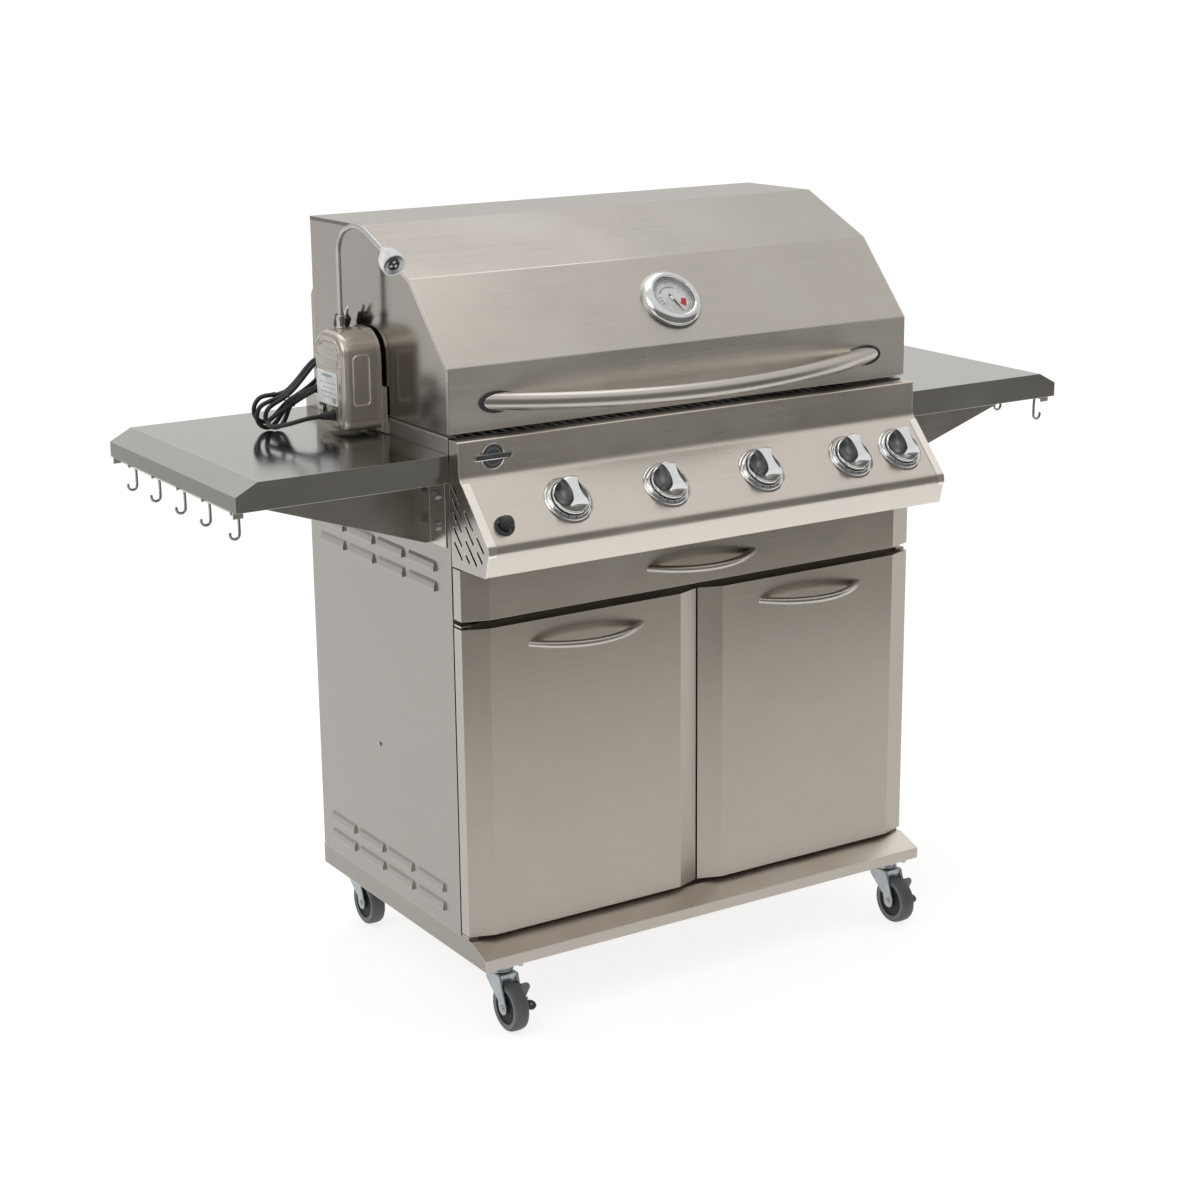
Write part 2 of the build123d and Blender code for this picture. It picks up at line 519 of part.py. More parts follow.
LH_R = 13.5
with BuildPart() as lid_handle:
    with BuildLine() as lh_path:
        ThreePointArc((-345, -178, 956.5), (0, -252, 949), (345, -178, 956.5))
    with BuildSketch(Plane(origin=lh_path.line @ 0, z_dir=lh_path.line % 0)):
        Circle(LH_R)
        Circle(LH_R - 1.5, mode=Mode.SUBTRACT)
    sweep(path=lh_path.line)
    block(-420, 420, -185.9, -140, 900, 1010, mode=Mode.SUBTRACT)
lid_handle.part.label = "lid_handle"
export_step(lid_handle.part, "parts/lid_handle.step")

with BuildPart() as lid_handle_seats:
    with BuildSketch(Plane.XZ.offset(182.75)):
        for s in (-1, 1):
            with Locations((s * 340, 956)):
                Ellipse(33, 19)
    extrude(amount=3.15)
lid_handle_seats.part.label = "lid_handle_seats"
export_step(lid_handle_seats.part, "parts/lid_handle_seats.step")

TH_PLANE = Plane(origin=(0, TH_Y, TH_Z), x_dir=(1, 0, 0), z_dir=LID_N)
with BuildPart() as thermometer_case:
    with Locations(TH_PLANE):
        with Locations((0, 0, 0.05)):
            Cone(51, 47, 15, align=(Align.CENTER, Align.CENTER, Align.MIN))
        with Locations((0, 0, 4)):
            Cylinder(43, 12, align=(Align.CENTER, Align.CENTER, Align.MIN), mode=Mode.SUBTRACT)
        with Locations((0, 0, -50)):
            Cylinder(3, 51, align=(Align.CENTER, Align.CENTER, Align.MIN))
thermometer_case.part.label = "thermometer_case"
export_step(thermometer_case.part, "parts/thermometer_case.step")

with BuildPart() as thermometer_dial:
    with Locations(TH_PLANE):
        with Locations((0, 0, 4)):
            Cylinder(42.9, 1.5, align=(Align.CENTER, Align.CENTER, Align.MIN))
        with Locations((0, 0, 5.5)):
            Cylinder(1.2, 3.0, align=(Align.CENTER, Align.CENTER, Align.MIN))
thermometer_dial.part.label = "thermometer_dial"
export_step(thermometer_dial.part, "parts/thermometer_dial.step")

with BuildPart() as thermometer_needle:
    with Locations(TH_PLANE):
        with Locations((0, 0, 6.0)):
            Cylinder(4, 2.0, align=(Align.CENTER, Align.CENTER, Align.MIN))
        with Locations(Location((0, 0, 6.6), (0, 0, -62))):
            with Locations((11, 0, 0)):
                Box(36, 2.4, 0.8, align=(Align.CENTER, Align.CENTER, Align.MIN))
        with Locations((0, 0, 5.6)):
            Cylinder(1.2 + RUN, 4, align=(Align.CENTER, Align.CENTER, Align.MIN), mode=Mode.SUBTRACT)
thermometer_needle.part.label = "thermometer_needle"
export_step(thermometer_needle.part, "parts/thermometer_needle.step")

with BuildPart() as thermometer_lens:
    with Locations(TH_PLANE):
        with Locations((0, 0, 11.0)):
            Cylinder(42.9, 2.0, align=(Align.CENTER, Align.CENTER, Align.MIN))
thermometer_lens.part.label = "thermometer_lens"
export_step(thermometer_lens.part, "parts/thermometer_lens.step")

# ---------------------------------------------------------------------------
# Side shelves: bevelled pans, gusset brackets, hook rails, hooks
# ---------------------------------------------------------------------------
with BuildPart() as side_shelves:
    with BuildSketch(Plane.XZ.offset(-(SH_YF + SH_YB) / 2)):
        for s in (-1, 1):
            Polygon(*mx([(SH_X0, SH_ZL), (SH_X0, SH_Z), (SH_X1, SH_Z), (SH_X2, SH_ZB), (SH_X2, SH_ZL)], s), align=None)
    extrude(amount=(SH_YB - SH_YF) / 2, both=True)
    with BuildSketch(Plane.XZ.offset(-(SH_YF + SH_YB) / 2)):
        for s in (-1, 1):
            Polygon(*mx([(SH_X0 + T, SH_ZL - 1), (SH_X0 + T, SH_Z - T), (SH_X1 - 0.4, SH_Z - T), (SH_X2 - T, SH_ZB - 0.9), (SH_X2 - T, SH_ZL - 1)], s), align=None)
    extrude(amount=(SH_YB - SH_YF) / 2 - T, both=True, mode=Mode.SUBTRACT)
side_shelves.part.label = "side_shelves"
export_step(side_shelves.part, "parts/side_shelves.step")

GUSSET = [(420.1, 745.0), (429.0, 745.0), (716.0, 840.5), (716.0, 884.3), (421.0, 884.3), (421.0, 843.8), (420.1, 843.8)]
with BuildPart() as shelf_brackets:
    for yg in (-118.0, 205.0):
        with BuildSketch(Plane.XZ.offset(-yg)):
            for s in (-1, 1):
                Polygon(*mx(GUSSET, s), align=None)
        extrude(amount=0.9, both=True)
    for s in (-1, 1):
        for y0, y1 in ((-166.0, -117.1), (204.1, 253.0)):
            block(s * SIDE_OUT, s * 420.2, y0, y1, 745, 843.8)
shelf_brackets.part.label = "shelf_brackets"
export_step(shelf_brackets.part, "parts/shelf_brackets.step")

with BuildPart() as hook_rails:
    for s in (-1, 1):
        with Locations(Location((s * RAIL_X, 55, RAIL_Z), (90, 0, 0))):
            Cylinder(RAIL_R, 440)
        for yt in (-165.0, 275.0):
            block(s * (RAIL_X - 6), s * 752.4, yt - 1, yt + 1, 834, 866)
hook_rails.part.label = "hook_rails"
export_step(hook_rails.part, "parts/hook_rails.step")

WIRE = 1.8


def hook_solid(s, yh):
    # wire hook: closed over the rail, straight stem, round open end
    r = RAIL_R + WIRE + 0.35
    ca, sa = math.cos(math.radians(-20)), math.sin(math.radians(-20))
    ce, se = math.cos(math.radians(15)), math.sin(math.radians(15))
    xs, xc, re = RAIL_X - r, RAIL_X - r + 6.85, 6.85
    with BuildLine(Plane.XZ.offset(-yh)) as hp:
        a = ThreePointArc((s * (RAIL_X + r * ca), RAIL_Z + r * sa), (s * RAIL_X, RAIL_Z + r), (s * xs, RAIL_Z))
        b = Line(a @ 1, (s * xs, 809.0))
        ThreePointArc(b @ 1, (s * xc, 809.0 - re), (s * (xc + re * ce), 809.0 + re * se))
    with BuildSketch(Plane(origin=hp.wire() @ 0, z_dir=hp.wire() % 0)) as section:
        Circle(WIRE)
    sweep(section.sketch, path=hp.wire())


with BuildPart() as hooks_left:
    for yh in HOOK_Y:
        hook_solid(-1, yh)
hooks_left.part.label = "hooks_left"
export_step(hooks_left.part, "parts/hooks_left.step")

with BuildPart() as hooks_right:
    for yh in HOOK_Y:
        hook_solid(1, yh)
hooks_right.part.label = "hooks_right"
export_step(hooks_right.part, "parts/hooks_right.step")

# ---------------------------------------------------------------------------
# Casters: plates with kingpins, forks, wheels, brake pedals on the front pair
# ---------------------------------------------------------------------------
with BuildPart() as caster_plates:
    for cx, cy in CASTERS.values():
        block(cx - 28, cx + 28, cy - 25, cy + 25, 101, 104)
        with Locations((cx, cy, 95.2)):
            Cylinder(18, 11.7)
        with Locations((cx, cy, 88)):
            Cylinder(5, 10)
        with Locations((cx, cy, 83.6)):
            Cylinder(8.5, 3.2)
caster_plates.part.label = "caster_plates"
export_step(caster_plates.part, "parts/caster_plates.step")


def fork_shape(cx, cy, pin=False):
    # leg outline in Y and Z, from the crown down and forward to the axle
    leg = [(cy + 17, 89.0), (cy - 17, 89.0), (cy + OFFSET - 11, 40.0), (cy + OFFSET - 8, 30.0), (cy + OFFSET + 2, 27.0), (cy + OFFSET + 10, 33.0)]
    for s in (-1, 1):
        with BuildSketch(Plane.YZ.offset(cx + s * 14.25)) as section:
            Polygon(*leg, align=None)
        extrude(section.sketch, amount=1.25, both=True)
    block(cx - 15.5, cx + 15.5, cy - 17, cy + 17, 86, 89)
    with Locations((cx, cy, 87.5)):
        Cylinder(5 + RUN, 8, mode=Mode.SUBTRACT)
    with Locations(Location((cx, cy + OFFSET, WHEEL_R), (0, 90, 0))):
        Cylinder(AXLE_R, 35)
        with Locations((0, 0, 17.0), (0, 0, -17.0)):
            Cylinder(7, 3)
    if pin:
        with Locations(Location((cx + 18.5, cy + OFFSET + 6, 66), (0, 90, 0))):
            Cylinder(2.5, 8)


def wheel_shape(cx, cy):
    with Locations(Location((cx, cy + OFFSET, WHEEL_R), (0, 90, 0))):
        Cylinder(WHEEL_R, WHEEL_W)
        with Locations((0, 0, WHEEL_W / 2), (0, 0, -WHEEL_W / 2)):
            Cylinder(26, 6, mode=Mode.SUBTRACT)
        Cylinder(9.5, WHEEL_W - 0.6)
        Cylinder(AXLE_R + RUN, WHEEL_W + 4, mode=Mode.SUBTRACT)


with BuildPart() as fork_front_left:
    fork_shape(*CASTERS["front_left"], pin=True)
fork_front_left.part.label = "fork_front_left"
export_step(fork_front_left.part, "parts/fork_front_left.step")
with BuildPart() as fork_front_right:
    fork_shape(*CASTERS["front_right"], pin=True)
fork_front_right.part.label = "fork_front_right"
export_step(fork_front_right.part, "parts/fork_front_right.step")
with BuildPart() as fork_rear_left:
    fork_shape(*CASTERS["rear_left"])
fork_rear_left.part.label = "fork_rear_left"
export_step(fork_rear_left.part, "parts/fork_rear_left.step")
with BuildPart() as fork_rear_right:
    fork_shape(*CASTERS["rear_right"])
fork_rear_right.part.label = "fork_rear_right"
export_step(fork_rear_right.part, "parts/fork_rear_right.step")

with BuildPart() as wheel_front_left:
    wheel_shape(*CASTERS["front_left"])
    chamfer([e for e in wheel_front_left.edges().filter_by(GeomType.CIRCLE) if abs(e.radius - WHEEL_R) < 0.01], 2.5)
wheel_front_left.part.label = "wheel_front_left"
export_step(wheel_front_left.part, "parts/wheel_front_left.step")
with BuildPart() as wheel_front_right:
    wheel_shape(*CASTERS["front_right"])
    chamfer([e for e in wheel_front_right.edges().filter_by(GeomType.CIRCLE) if abs(e.radius - WHEEL_R) < 0.01], 2.5)
wheel_front_right.part.label = "wheel_front_right"
export_step(wheel_front_right.part, "parts/wheel_front_right.step")
with BuildPart() as wheel_rear_left:
    wheel_shape(*CASTERS["rear_left"])
    chamfer([e for e in wheel_rear_left.edges().filter_by(GeomType.CIRCLE) if abs(e.radius - WHEEL_R) < 0.01], 2.5)
wheel_rear_left.part.label = "wheel_rear_left"
export_step(wheel_rear_left.part, "parts/wheel_rear_left.step")
with BuildPart() as wheel_rear_right:
    wheel_shape(*CASTERS["rear_right"])
    chamfer([e for e in wheel_rear_right.edges().filter_by(GeomType.CIRCLE) if abs(e.radius - WHEEL_R) < 0.01], 2.5)
wheel_rear_right.part.label = "wheel_rear_right"
export_step(wheel_rear_right.part, "parts/wheel_rear_right.step")


def pedal_shape(cx, cy):
    # brake lever on the +X side of the fork: pivot boss, arm and tread
    with Locations(Location((cx + 18.8, cy + OFFSET + 6, 66), (0, 90, 0))):
        Cylinder(6, 5.4)
    block(cx + 16.1, cx + 18.6, cy + OFFSET - 8, cy + OFFSET + 12, 50, 70)
    block(cx + 16.1, cx + 43, cy + OFFSET - 14, cy + OFFSET + 4, 50, 56)
    with Locations(Location((cx + 18.8, cy + OFFSET + 6, 66), (0, 90, 0))):
        Cylinder(2.5 + RUN, 12, mode=Mode.SUBTRACT)


with BuildPart() as brake_left:
    pedal_shape(*CASTERS["front_left"])
brake_left.part.label = "brake_left"
export_step(brake_left.part, "parts/brake_left.step")
with BuildPart() as brake_right:
    pedal_shape(*CASTERS["front_right"])
brake_right.part.label = "brake_right"
export_step(brake_right.part, "parts/brake_right.step")

# ---------------------------------------------------------------------------
# Rotisserie motor: pressed housing, mounting bracket with the gear motor,
# square drive socket, cable gland
# ---------------------------------------------------------------------------
with BuildPart() as motor_housing:
    with BuildSketch(Plane.YZ.offset(MOTOR_X1)):
        with Locations(((MOTOR_Y0 + MOTOR_Y1) / 2, (MOTOR_Z0 + MOTOR_Z1) / 2)):
            mh = Rectangle(MOTOR_Y1 - MOTOR_Y0, MOTOR_Z1 - MOTOR_Z0)
        fillet(mh.vertices().group_by(Axis.Y)[-1], 38)
        fillet([v for v in mh.vertices().group_by(Axis.Y)[0]], 20)
    extrude(amount=MOTOR_X0 - MOTOR_X1)
    fillet(motor_housing.faces().sort_by(Axis.X)[0].edges(), 11)
    offset(amount=-1.2, openings=motor_housing.faces().sort_by(Axis.X)[-1])
    with Locations(Location((MOTOR_X1, 54, 914.8), (0, 90, 0))):
        Cylinder(5 + RUN, 30, mode=Mode.SUBTRACT)
    with Locations((-455, 80, MOTOR_Z1)):
        Cylinder(3.0, 12, mode=Mode.SUBTRACT)
motor_housing.part.label = "motor_housing"
export_step(motor_housing.part, "parts/motor_housing.step")

with BuildPart() as bracket_plate:
    with BuildSketch(Plane.YZ.offset(MOTOR_X0)):
        with Locations(((MOTOR_Y0 + MOTOR_Y1) / 2, (MOTOR_Z0 + MOTOR_Z1) / 2)):
            bp = Rectangle(MOTOR_Y1 - MOTOR_Y0 + 5, MOTOR_Z1 - MOTOR_Z0 + 4)
        fillet(bp.vertices().group_by(Axis.Y)[-1], 40)
        fillet([v for v in bp.vertices().group_by(Axis.Y)[0]], 20)
        with Locations((SPIT_Y, SPIT_Z)):
            Circle(9.5 + RUN, mode=Mode.SUBTRACT)
    extrude(amount=2.4)
    block(MOTOR_X0 + 2.3, -420.6, 4, 30, 887.5, 958)
    block(MOTOR_X0 + 2.3, -SIDE_OUT, 4, 30, 887.5, 907)
with BuildPart() as gear_motor:
    block(-478, MOTOR_X0, 34, 104, 950, 1010)
motor_bracket = Compound(children=[bracket_plate.part, gear_motor.part])
motor_bracket.label = "motor_bracket"
export_step(motor_bracket, "parts/motor_bracket.step")

with BuildPart() as spit_drive:
    with Locations(Location((-440.0, SPIT_Y, SPIT_Z), (0, 90, 0))):
        Cylinder(9.5, 18.6, align=(Align.CENTER, Align.CENTER, Align.MIN))
        with Locations((0, 0, -12)):
            Cylinder(20, 10, align=(Align.CENTER, Align.CENTER, Align.MIN))
        with Locations((0, 0, -2)):
            Cylinder(7, 4, align=(Align.CENTER, Align.CENTER, Align.MIN))
    block(-436, -415, SPIT_Y - 4.6, SPIT_Y + 4.6, SPIT_Z - 4.6, SPIT_Z + 4.6, mode=Mode.SUBTRACT)
spit_drive.part.label = "spit_drive"
export_step(spit_drive.part, "parts/spit_drive.step")

with BuildPart() as cord_gland:
    with Locations(Location((MOTOR_X1 + 4, 54, 914.8), (0, -90, 0))):
        Cylinder(5, 12, align=(Align.CENTER, Align.CENTER, Align.MIN))
        with Locations((0, 0, 4)):
            Cone(8.5, 5.2, 22, align=(Align.CENTER, Align.CENTER, Align.MIN))
cord_gland.part.label = "cord_gland"
export_step(cord_gland.part, "parts/cord_gland.step")

# ---------------------------------------------------------------------------
# Gooseneck lamp on top of the motor
# ---------------------------------------------------------------------------
NECK_X = -455.0
NECK = [(80.0, 1058.0), (80.0, 1181.0), (12.0, 1204.5), (-66.0, 1178.0)]
HEAD_DIR = (-0.10, -0.935, -0.34)
with BuildPart() as gooseneck:
    with BuildLine(Plane.YZ.offset(NECK_X)) as neck_path:
        FilletPolyline(*NECK, radius=[34, 70])
    with BuildSketch(Plane(origin=neck_path.wire() @ 0, z_dir=neck_path.wire() % 0)):
        Circle(3.9)
    sweep(path=neck_path.wire())
    with Locations((NECK_X, 80, MOTOR_Z1)):
        Cylinder(6.2, 20, align=(Align.CENTER, Align.CENTER, Align.MIN))
    with Locations((NECK_X, 80, MOTOR_Z1 - 3)):
        Cylinder(2.9, 4, align=(Align.CENTER, Align.CENTER, Align.MIN))
gooseneck.part.label = "gooseneck"
export_step(gooseneck.part, "parts/gooseneck.step")

with BuildPart() as lamp_head:
    with Locations(Plane(origin=(NECK_X, -66.0, 1178.0), z_dir=HEAD_DIR)):
        with Locations((0, 0, 0.3)):
            Cylinder(6, 9, align=(Align.CENTER, Align.CENTER, Align.MIN))
        with Locations((0, 0, 9)):
            Cone(6.5, 17.5, 26, align=(Align.CENTER, Align.CENTER, Align.MIN))
        with Locations((0, 0, 35)):
            Cylinder(18, 8, align=(Align.CENTER, Align.CENTER, Align.MIN))
        with Locations((0, 0, 39.5)):
            Cylinder(14.5, 4, align=(Align.CENTER, Align.CENTER, Align.MIN), mode=Mode.SUBTRACT)
lamp_head.part.label = "lamp_head"
export_step(lamp_head.part, "parts/lamp_head.step")

# ---------------------------------------------------------------------------
# Supply cord: lead from the gland, tied loops leaning on the motor, short tail
# to the plug that rests over the motor's rear shoulder
# ---------------------------------------------------------------------------
LEAD = [(-507.0, 54.0, 914.8), (-531.0, 54.5, 914.0), (-556.0, 62.0, 907.5), (-573.0, 82.0, 901.0), (-572.0, 104.0, 901.0), (-558.0, 122.0, 906.0)]
TAIL = [(-447.0, 132.0, 988.0), (-441.0, 133.5, 998.0), (-438.0, 130.5, 1010.0), (-437.5, 124.2, 1021.5)]


def tube_radii(pts):
    out = []
    for a, b, c in zip(pts[:-2], pts[1:-1], pts[2:]):
        u, v = Vector(*b) - Vector(*a), Vector(*c) - Vector(*b)
        half = math.radians(u.get_angle(v)) / 2
        out.append(0.45 * min(u.length, v.length) / math.tan(half))
    return out


lead_r, tail_r = tube_radii(LEAD), tube_radii(TAIL)
print("lead radii", [round(r, 1) for r in lead_r])
print("tail radii", [round(r, 1) for r in tail_r])

with BuildPart() as lead_tube:
    with BuildLine() as lead_path:
        FilletPolyline(*LEAD, radius=lead_r)
    with BuildSketch(Plane(origin=lead_path.wire() @ 0, z_dir=lead_path.wire() % 0)):
        Circle(CORD_R)
    sweep(path=lead_path.wire())
with BuildPart() as tail_tube:
    with BuildLine() as tail_path:
        FilletPolyline(*TAIL, radius=tail_r)
    with BuildSketch(Plane(origin=tail_path.wire() @ 0, z_dir=tail_path.wire() % 0)):
        Circle(CORD_R)
    sweep(path=tail_path.wire())
print("lead volume ratio", lead_tube.part.volume / (math.pi * CORD_R ** 2 * lead_path.wire().length))
print("tail volume ratio", tail_tube.part.volume / (math.pi * CORD_R ** 2 * tail_path.wire().length))

power_cord = Compound(children=[lead_tube.part, tail_tube.part])
power_cord.label = "power_cord"
export_step(power_cord, "parts/power_cord.step")

# tied bundle of loops: one closed solid of its outer shape
HANK_A, HANK_B = (-555.0, 910.5), (-462.0, 971.0)
with BuildPart() as cord_hank:
    with BuildSketch(Plane.XZ.offset(-122.0)):
        with Locations(HANK_A):
            Circle(24)
        with Locations(HANK_B):
            Circle(22)
        make_hull()
    extrude(amount=-20)
cord_hank.part.label = "cord_hank"
export_step(cord_hank.part, "parts/cord_hank.step")

# three-pin plug leaning over the rear shoulder of the motor
PLUG_AT = (-437.5, 124.2, 1021.5)
PLUG_DIR = (0.0, -0.5, 0.866)
with BuildPart() as power_plug:
    with Locations(Plane(origin=PLUG_AT, x_dir=(1, 0, 0), z_dir=PLUG_DIR)):
        Cone(4.4, 6.5, 14, align=(Align.CENTER, Align.CENTER, Align.MIN))
        with Locations((0, 0, 13)):
            Box(22, 17, 24, align=(Align.CENTER, Align.CENTER, Align.MIN))
        with Locations((-6, 2.5, 36), (6, 2.5, 36)):
            Box(1.6, 6.3, 17, align=(Align.CENTER, Align.CENTER, Align.MIN))
        with Locations((0, -4.5, 36)):
            Cylinder(2.4, 19, align=(Align.CENTER, Align.CENTER, Align.MIN))
power_plug.part.label = "power_plug"
export_step(power_plug.part, "parts/power_plug.step")

# ---------------------------------------------------------------------------
# Fasteners: gusset bolts, side screws, caster bolts, lid pivot bolts
# ---------------------------------------------------------------------------
with BuildPart() as fasteners:
    for s in (-1, 1):
        for yb, zb in ((-140.0, 820.0), (-140.0, 774.0), (228.0, 820.0), (228.0, 774.0)):
            with Locations(Location((s * 422.3, yb, zb), (0, 90, 0))):
                Cylinder(7, 4.2)
        with Locations(Location((s * 419.5, 72.3, 375.3), (0, 90, 0))):
            Cylinder(3.6, 2.0)
        with Locations(Location((s * 417.6, PIV_Y, PIV_Z), (0, 90, 0))):
            Cylinder(4, 10)
        with Locations(Location((s * 420.4, PIV_Y, PIV_Z), (0, 90, 0))):
            Cylinder(8, 3.4)
        with Locations(Location((s * 411.4, PIV_Y, PIV_Z), (0, 90, 0))):
            Cylinder(7, 2.4)
    for cx, cy in CASTERS.values():
        for dx in (-22.5, 22.5):
            for dy in (-19.5, 19.5):
                with Locations((cx + dx, cy + dy, 99.2)):
                    Cylinder(4, 3.6)
fasteners.part.label = "fasteners"
export_step(fasteners.part, "parts/fasteners.step")
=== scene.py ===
import math
import bpy
import bmesh
from mathutils import Vector, Matrix


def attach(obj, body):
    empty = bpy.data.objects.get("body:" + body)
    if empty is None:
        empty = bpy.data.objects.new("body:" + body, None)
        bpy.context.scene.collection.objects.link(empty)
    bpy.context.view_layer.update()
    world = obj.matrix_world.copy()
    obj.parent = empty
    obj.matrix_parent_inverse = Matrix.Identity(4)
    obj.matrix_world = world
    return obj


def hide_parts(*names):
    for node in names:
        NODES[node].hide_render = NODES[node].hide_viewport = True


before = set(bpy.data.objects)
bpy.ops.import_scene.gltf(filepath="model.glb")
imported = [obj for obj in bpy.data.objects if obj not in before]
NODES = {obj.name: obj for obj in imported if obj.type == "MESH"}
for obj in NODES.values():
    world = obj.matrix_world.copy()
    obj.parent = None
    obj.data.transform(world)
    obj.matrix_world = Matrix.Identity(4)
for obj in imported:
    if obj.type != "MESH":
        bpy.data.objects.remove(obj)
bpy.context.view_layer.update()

scene = bpy.context.scene
MM = 0.001

# ---------------------------------------------------------------------------
# Camera
# ---------------------------------------------------------------------------
cam_data = bpy.data.cameras.new("view_camera")
cam_data.sensor_fit = "HORIZONTAL"
cam_data.sensor_width = 36.0
cam_data.lens = 71.505
cam_data.clip_start = 0.05
cam_data.clip_end = 300.0
cam = bpy.data.objects.new("view_camera", cam_data)
scene.collection.objects.link(cam)
_f = Vector((0.51722, 0.81250, -0.26892)).normalized()
_r = Vector((0.84221, -0.53908, -0.00891)).normalized()
_u = _r.cross(_f).normalized()
_m = Matrix((_r, _u, -_f)).transposed().to_4x4()
_m.translation = Vector((-2.0412, -3.12895, 1.6058))
cam.matrix_world = _m
scene.camera = cam
scene.view_settings.view_transform = "Standard"
scene.view_settings.look = "None"


# ---------------------------------------------------------------------------
# Materials
# ---------------------------------------------------------------------------
def node(nt, kind, **props):
    n = nt.nodes.new(kind)
    for k, v in props.items():
        setattr(n, k, v)
    return n


def new_mat(name):
    m = bpy.data.materials.new(name)
    m.use_nodes = True
    nt = m.node_tree
    for n in list(nt.nodes):
        nt.nodes.remove(n)
    out = node(nt, "ShaderNodeOutputMaterial")
    bs = node(nt, "ShaderNodeBsdfPrincipled")
    nt.links.new(bs.outputs["BSDF"], out.inputs["Surface"])
    return m, nt, bs


def mapped_noise(nt, scale, size, detail=4.0, rough=0.55, distort=0.0, offset=(0, 0, 0)):
    tc = node(nt, "ShaderNodeTexCoord")
    mp = node(nt, "ShaderNodeMapping")
    mp.inputs["Scale"].default_value = scale
    mp.inputs["Location"].default_value = offset
    nz = node(nt, "ShaderNodeTexNoise")
    nz.inputs["Scale"].default_value = size
    nz.inputs["Detail"].default_value = detail
    nz.inputs["Roughness"].default_value = rough
    nz.inputs["Distortion"].default_value = distort
    nt.links.new(tc.outputs["Object"], mp.inputs["Vector"])
    nt.links.new(mp.outputs["Vector"], nz.inputs["Vector"])
    return nz.outputs["Fac"]


def maprange(nt, src, a, b, c, d, smooth=False):
    mr = node(nt, "ShaderNodeMapRange")
    if smooth:
        mr.interpolation_type = "SMOOTHSTEP"
    mr.inputs["From Min"].default_value = a
    mr.inputs["From Max"].default_value = b
    mr.inputs["To Min"].default_value = c
    mr.inputs["To Max"].default_value = d
    nt.links.new(src, mr.inputs["Value"])
    return mr.outputs["Result"]


def math_node(nt, op, a, b):
    n = node(nt, "ShaderNodeMath", operation=op)
    for i, v in enumerate((a, b)):
        if isinstance(v, (int, float)):
            n.inputs[i].default_value = v
        else:
            nt.links.new(v, n.inputs[i])
    return n.outputs[0]


def ramp(nt, src, stops):
    r = node(nt, "ShaderNodeValToRGB")
    el = r.color_ramp.elements
    while len(el) > 1:
        el.remove(el[-1])
    el[0].position = stops[0][0]
    el[0].color = (*stops[0][1], 1)
    for p, c in stops[1:]:
        e = el.new(p)
        e.color = (*c, 1)
    nt.links.new(src, r.inputs["Fac"])
    return r.outputs["Color"]


def mix_col(nt, fac, a, b, mode="MIX"):
    n = node(nt, "ShaderNodeMix", data_type="RGBA", blend_type=mode)
    for sock, v in ((n.inputs[0], fac), (n.inputs[6], a), (n.inputs[7], b)):
        if isinstance(v, (int, float)):
            sock.default_value = v
        elif isinstance(v, tuple):
            sock.default_value = (*v, 1)
        else:
            nt.links.new(v, sock)
    return n.outputs[2]


def edge_mask(nt, radius=0.002, gain=4.0):
    # bright where the surface turns over an edge
    bv = node(nt, "ShaderNodeBevel")
    bv.samples = 4
    bv.inputs["Radius"].default_value = radius
    ge = node(nt, "ShaderNodeNewGeometry")
    dt = node(nt, "ShaderNodeVectorMath", operation="DOT_PRODUCT")
    nt.links.new(bv.outputs["Normal"], dt.inputs[0])
    nt.links.new(ge.outputs["Normal"], dt.inputs[1])
    inv = math_node(nt, "SUBTRACT", 1.0, dt.outputs["Value"])
    n = node(nt, "ShaderNodeMath", operation="MULTIPLY", use_clamp=True)
    nt.links.new(inv, n.inputs[0])
    n.inputs[1].default_value = gain
    return n.outputs[0]


def bump(nt, bs, src, strength, dist=0.0003):
    b = node(nt, "ShaderNodeBump")
    b.inputs["Strength"].default_value = strength
    b.inputs["Distance"].default_value = dist
    nt.links.new(src, b.inputs["Height"])
    nt.links.new(b.outputs["Normal"], bs.inputs["Normal"])
    return b


GRAIN = {"X": (2.0, 150.0, 150.0), "Y": (150.0, 2.0, 150.0), "Z": (150.0, 150.0, 2.0)}
AXIS = {"X": (1.0, 0.0, 0.0), "Y": (0.0, 1.0, 0.0), "Z": (0.0, 0.0, 1.0)}


def mix_vec(nt, fac, a, b):
    n = node(nt, "ShaderNodeMix", data_type="VECTOR")
    nt.links.new(fac, n.inputs[0])
    nt.links.new(a, n.inputs[4])
    nt.links.new(b, n.inputs[5])
    return n.outputs[1]


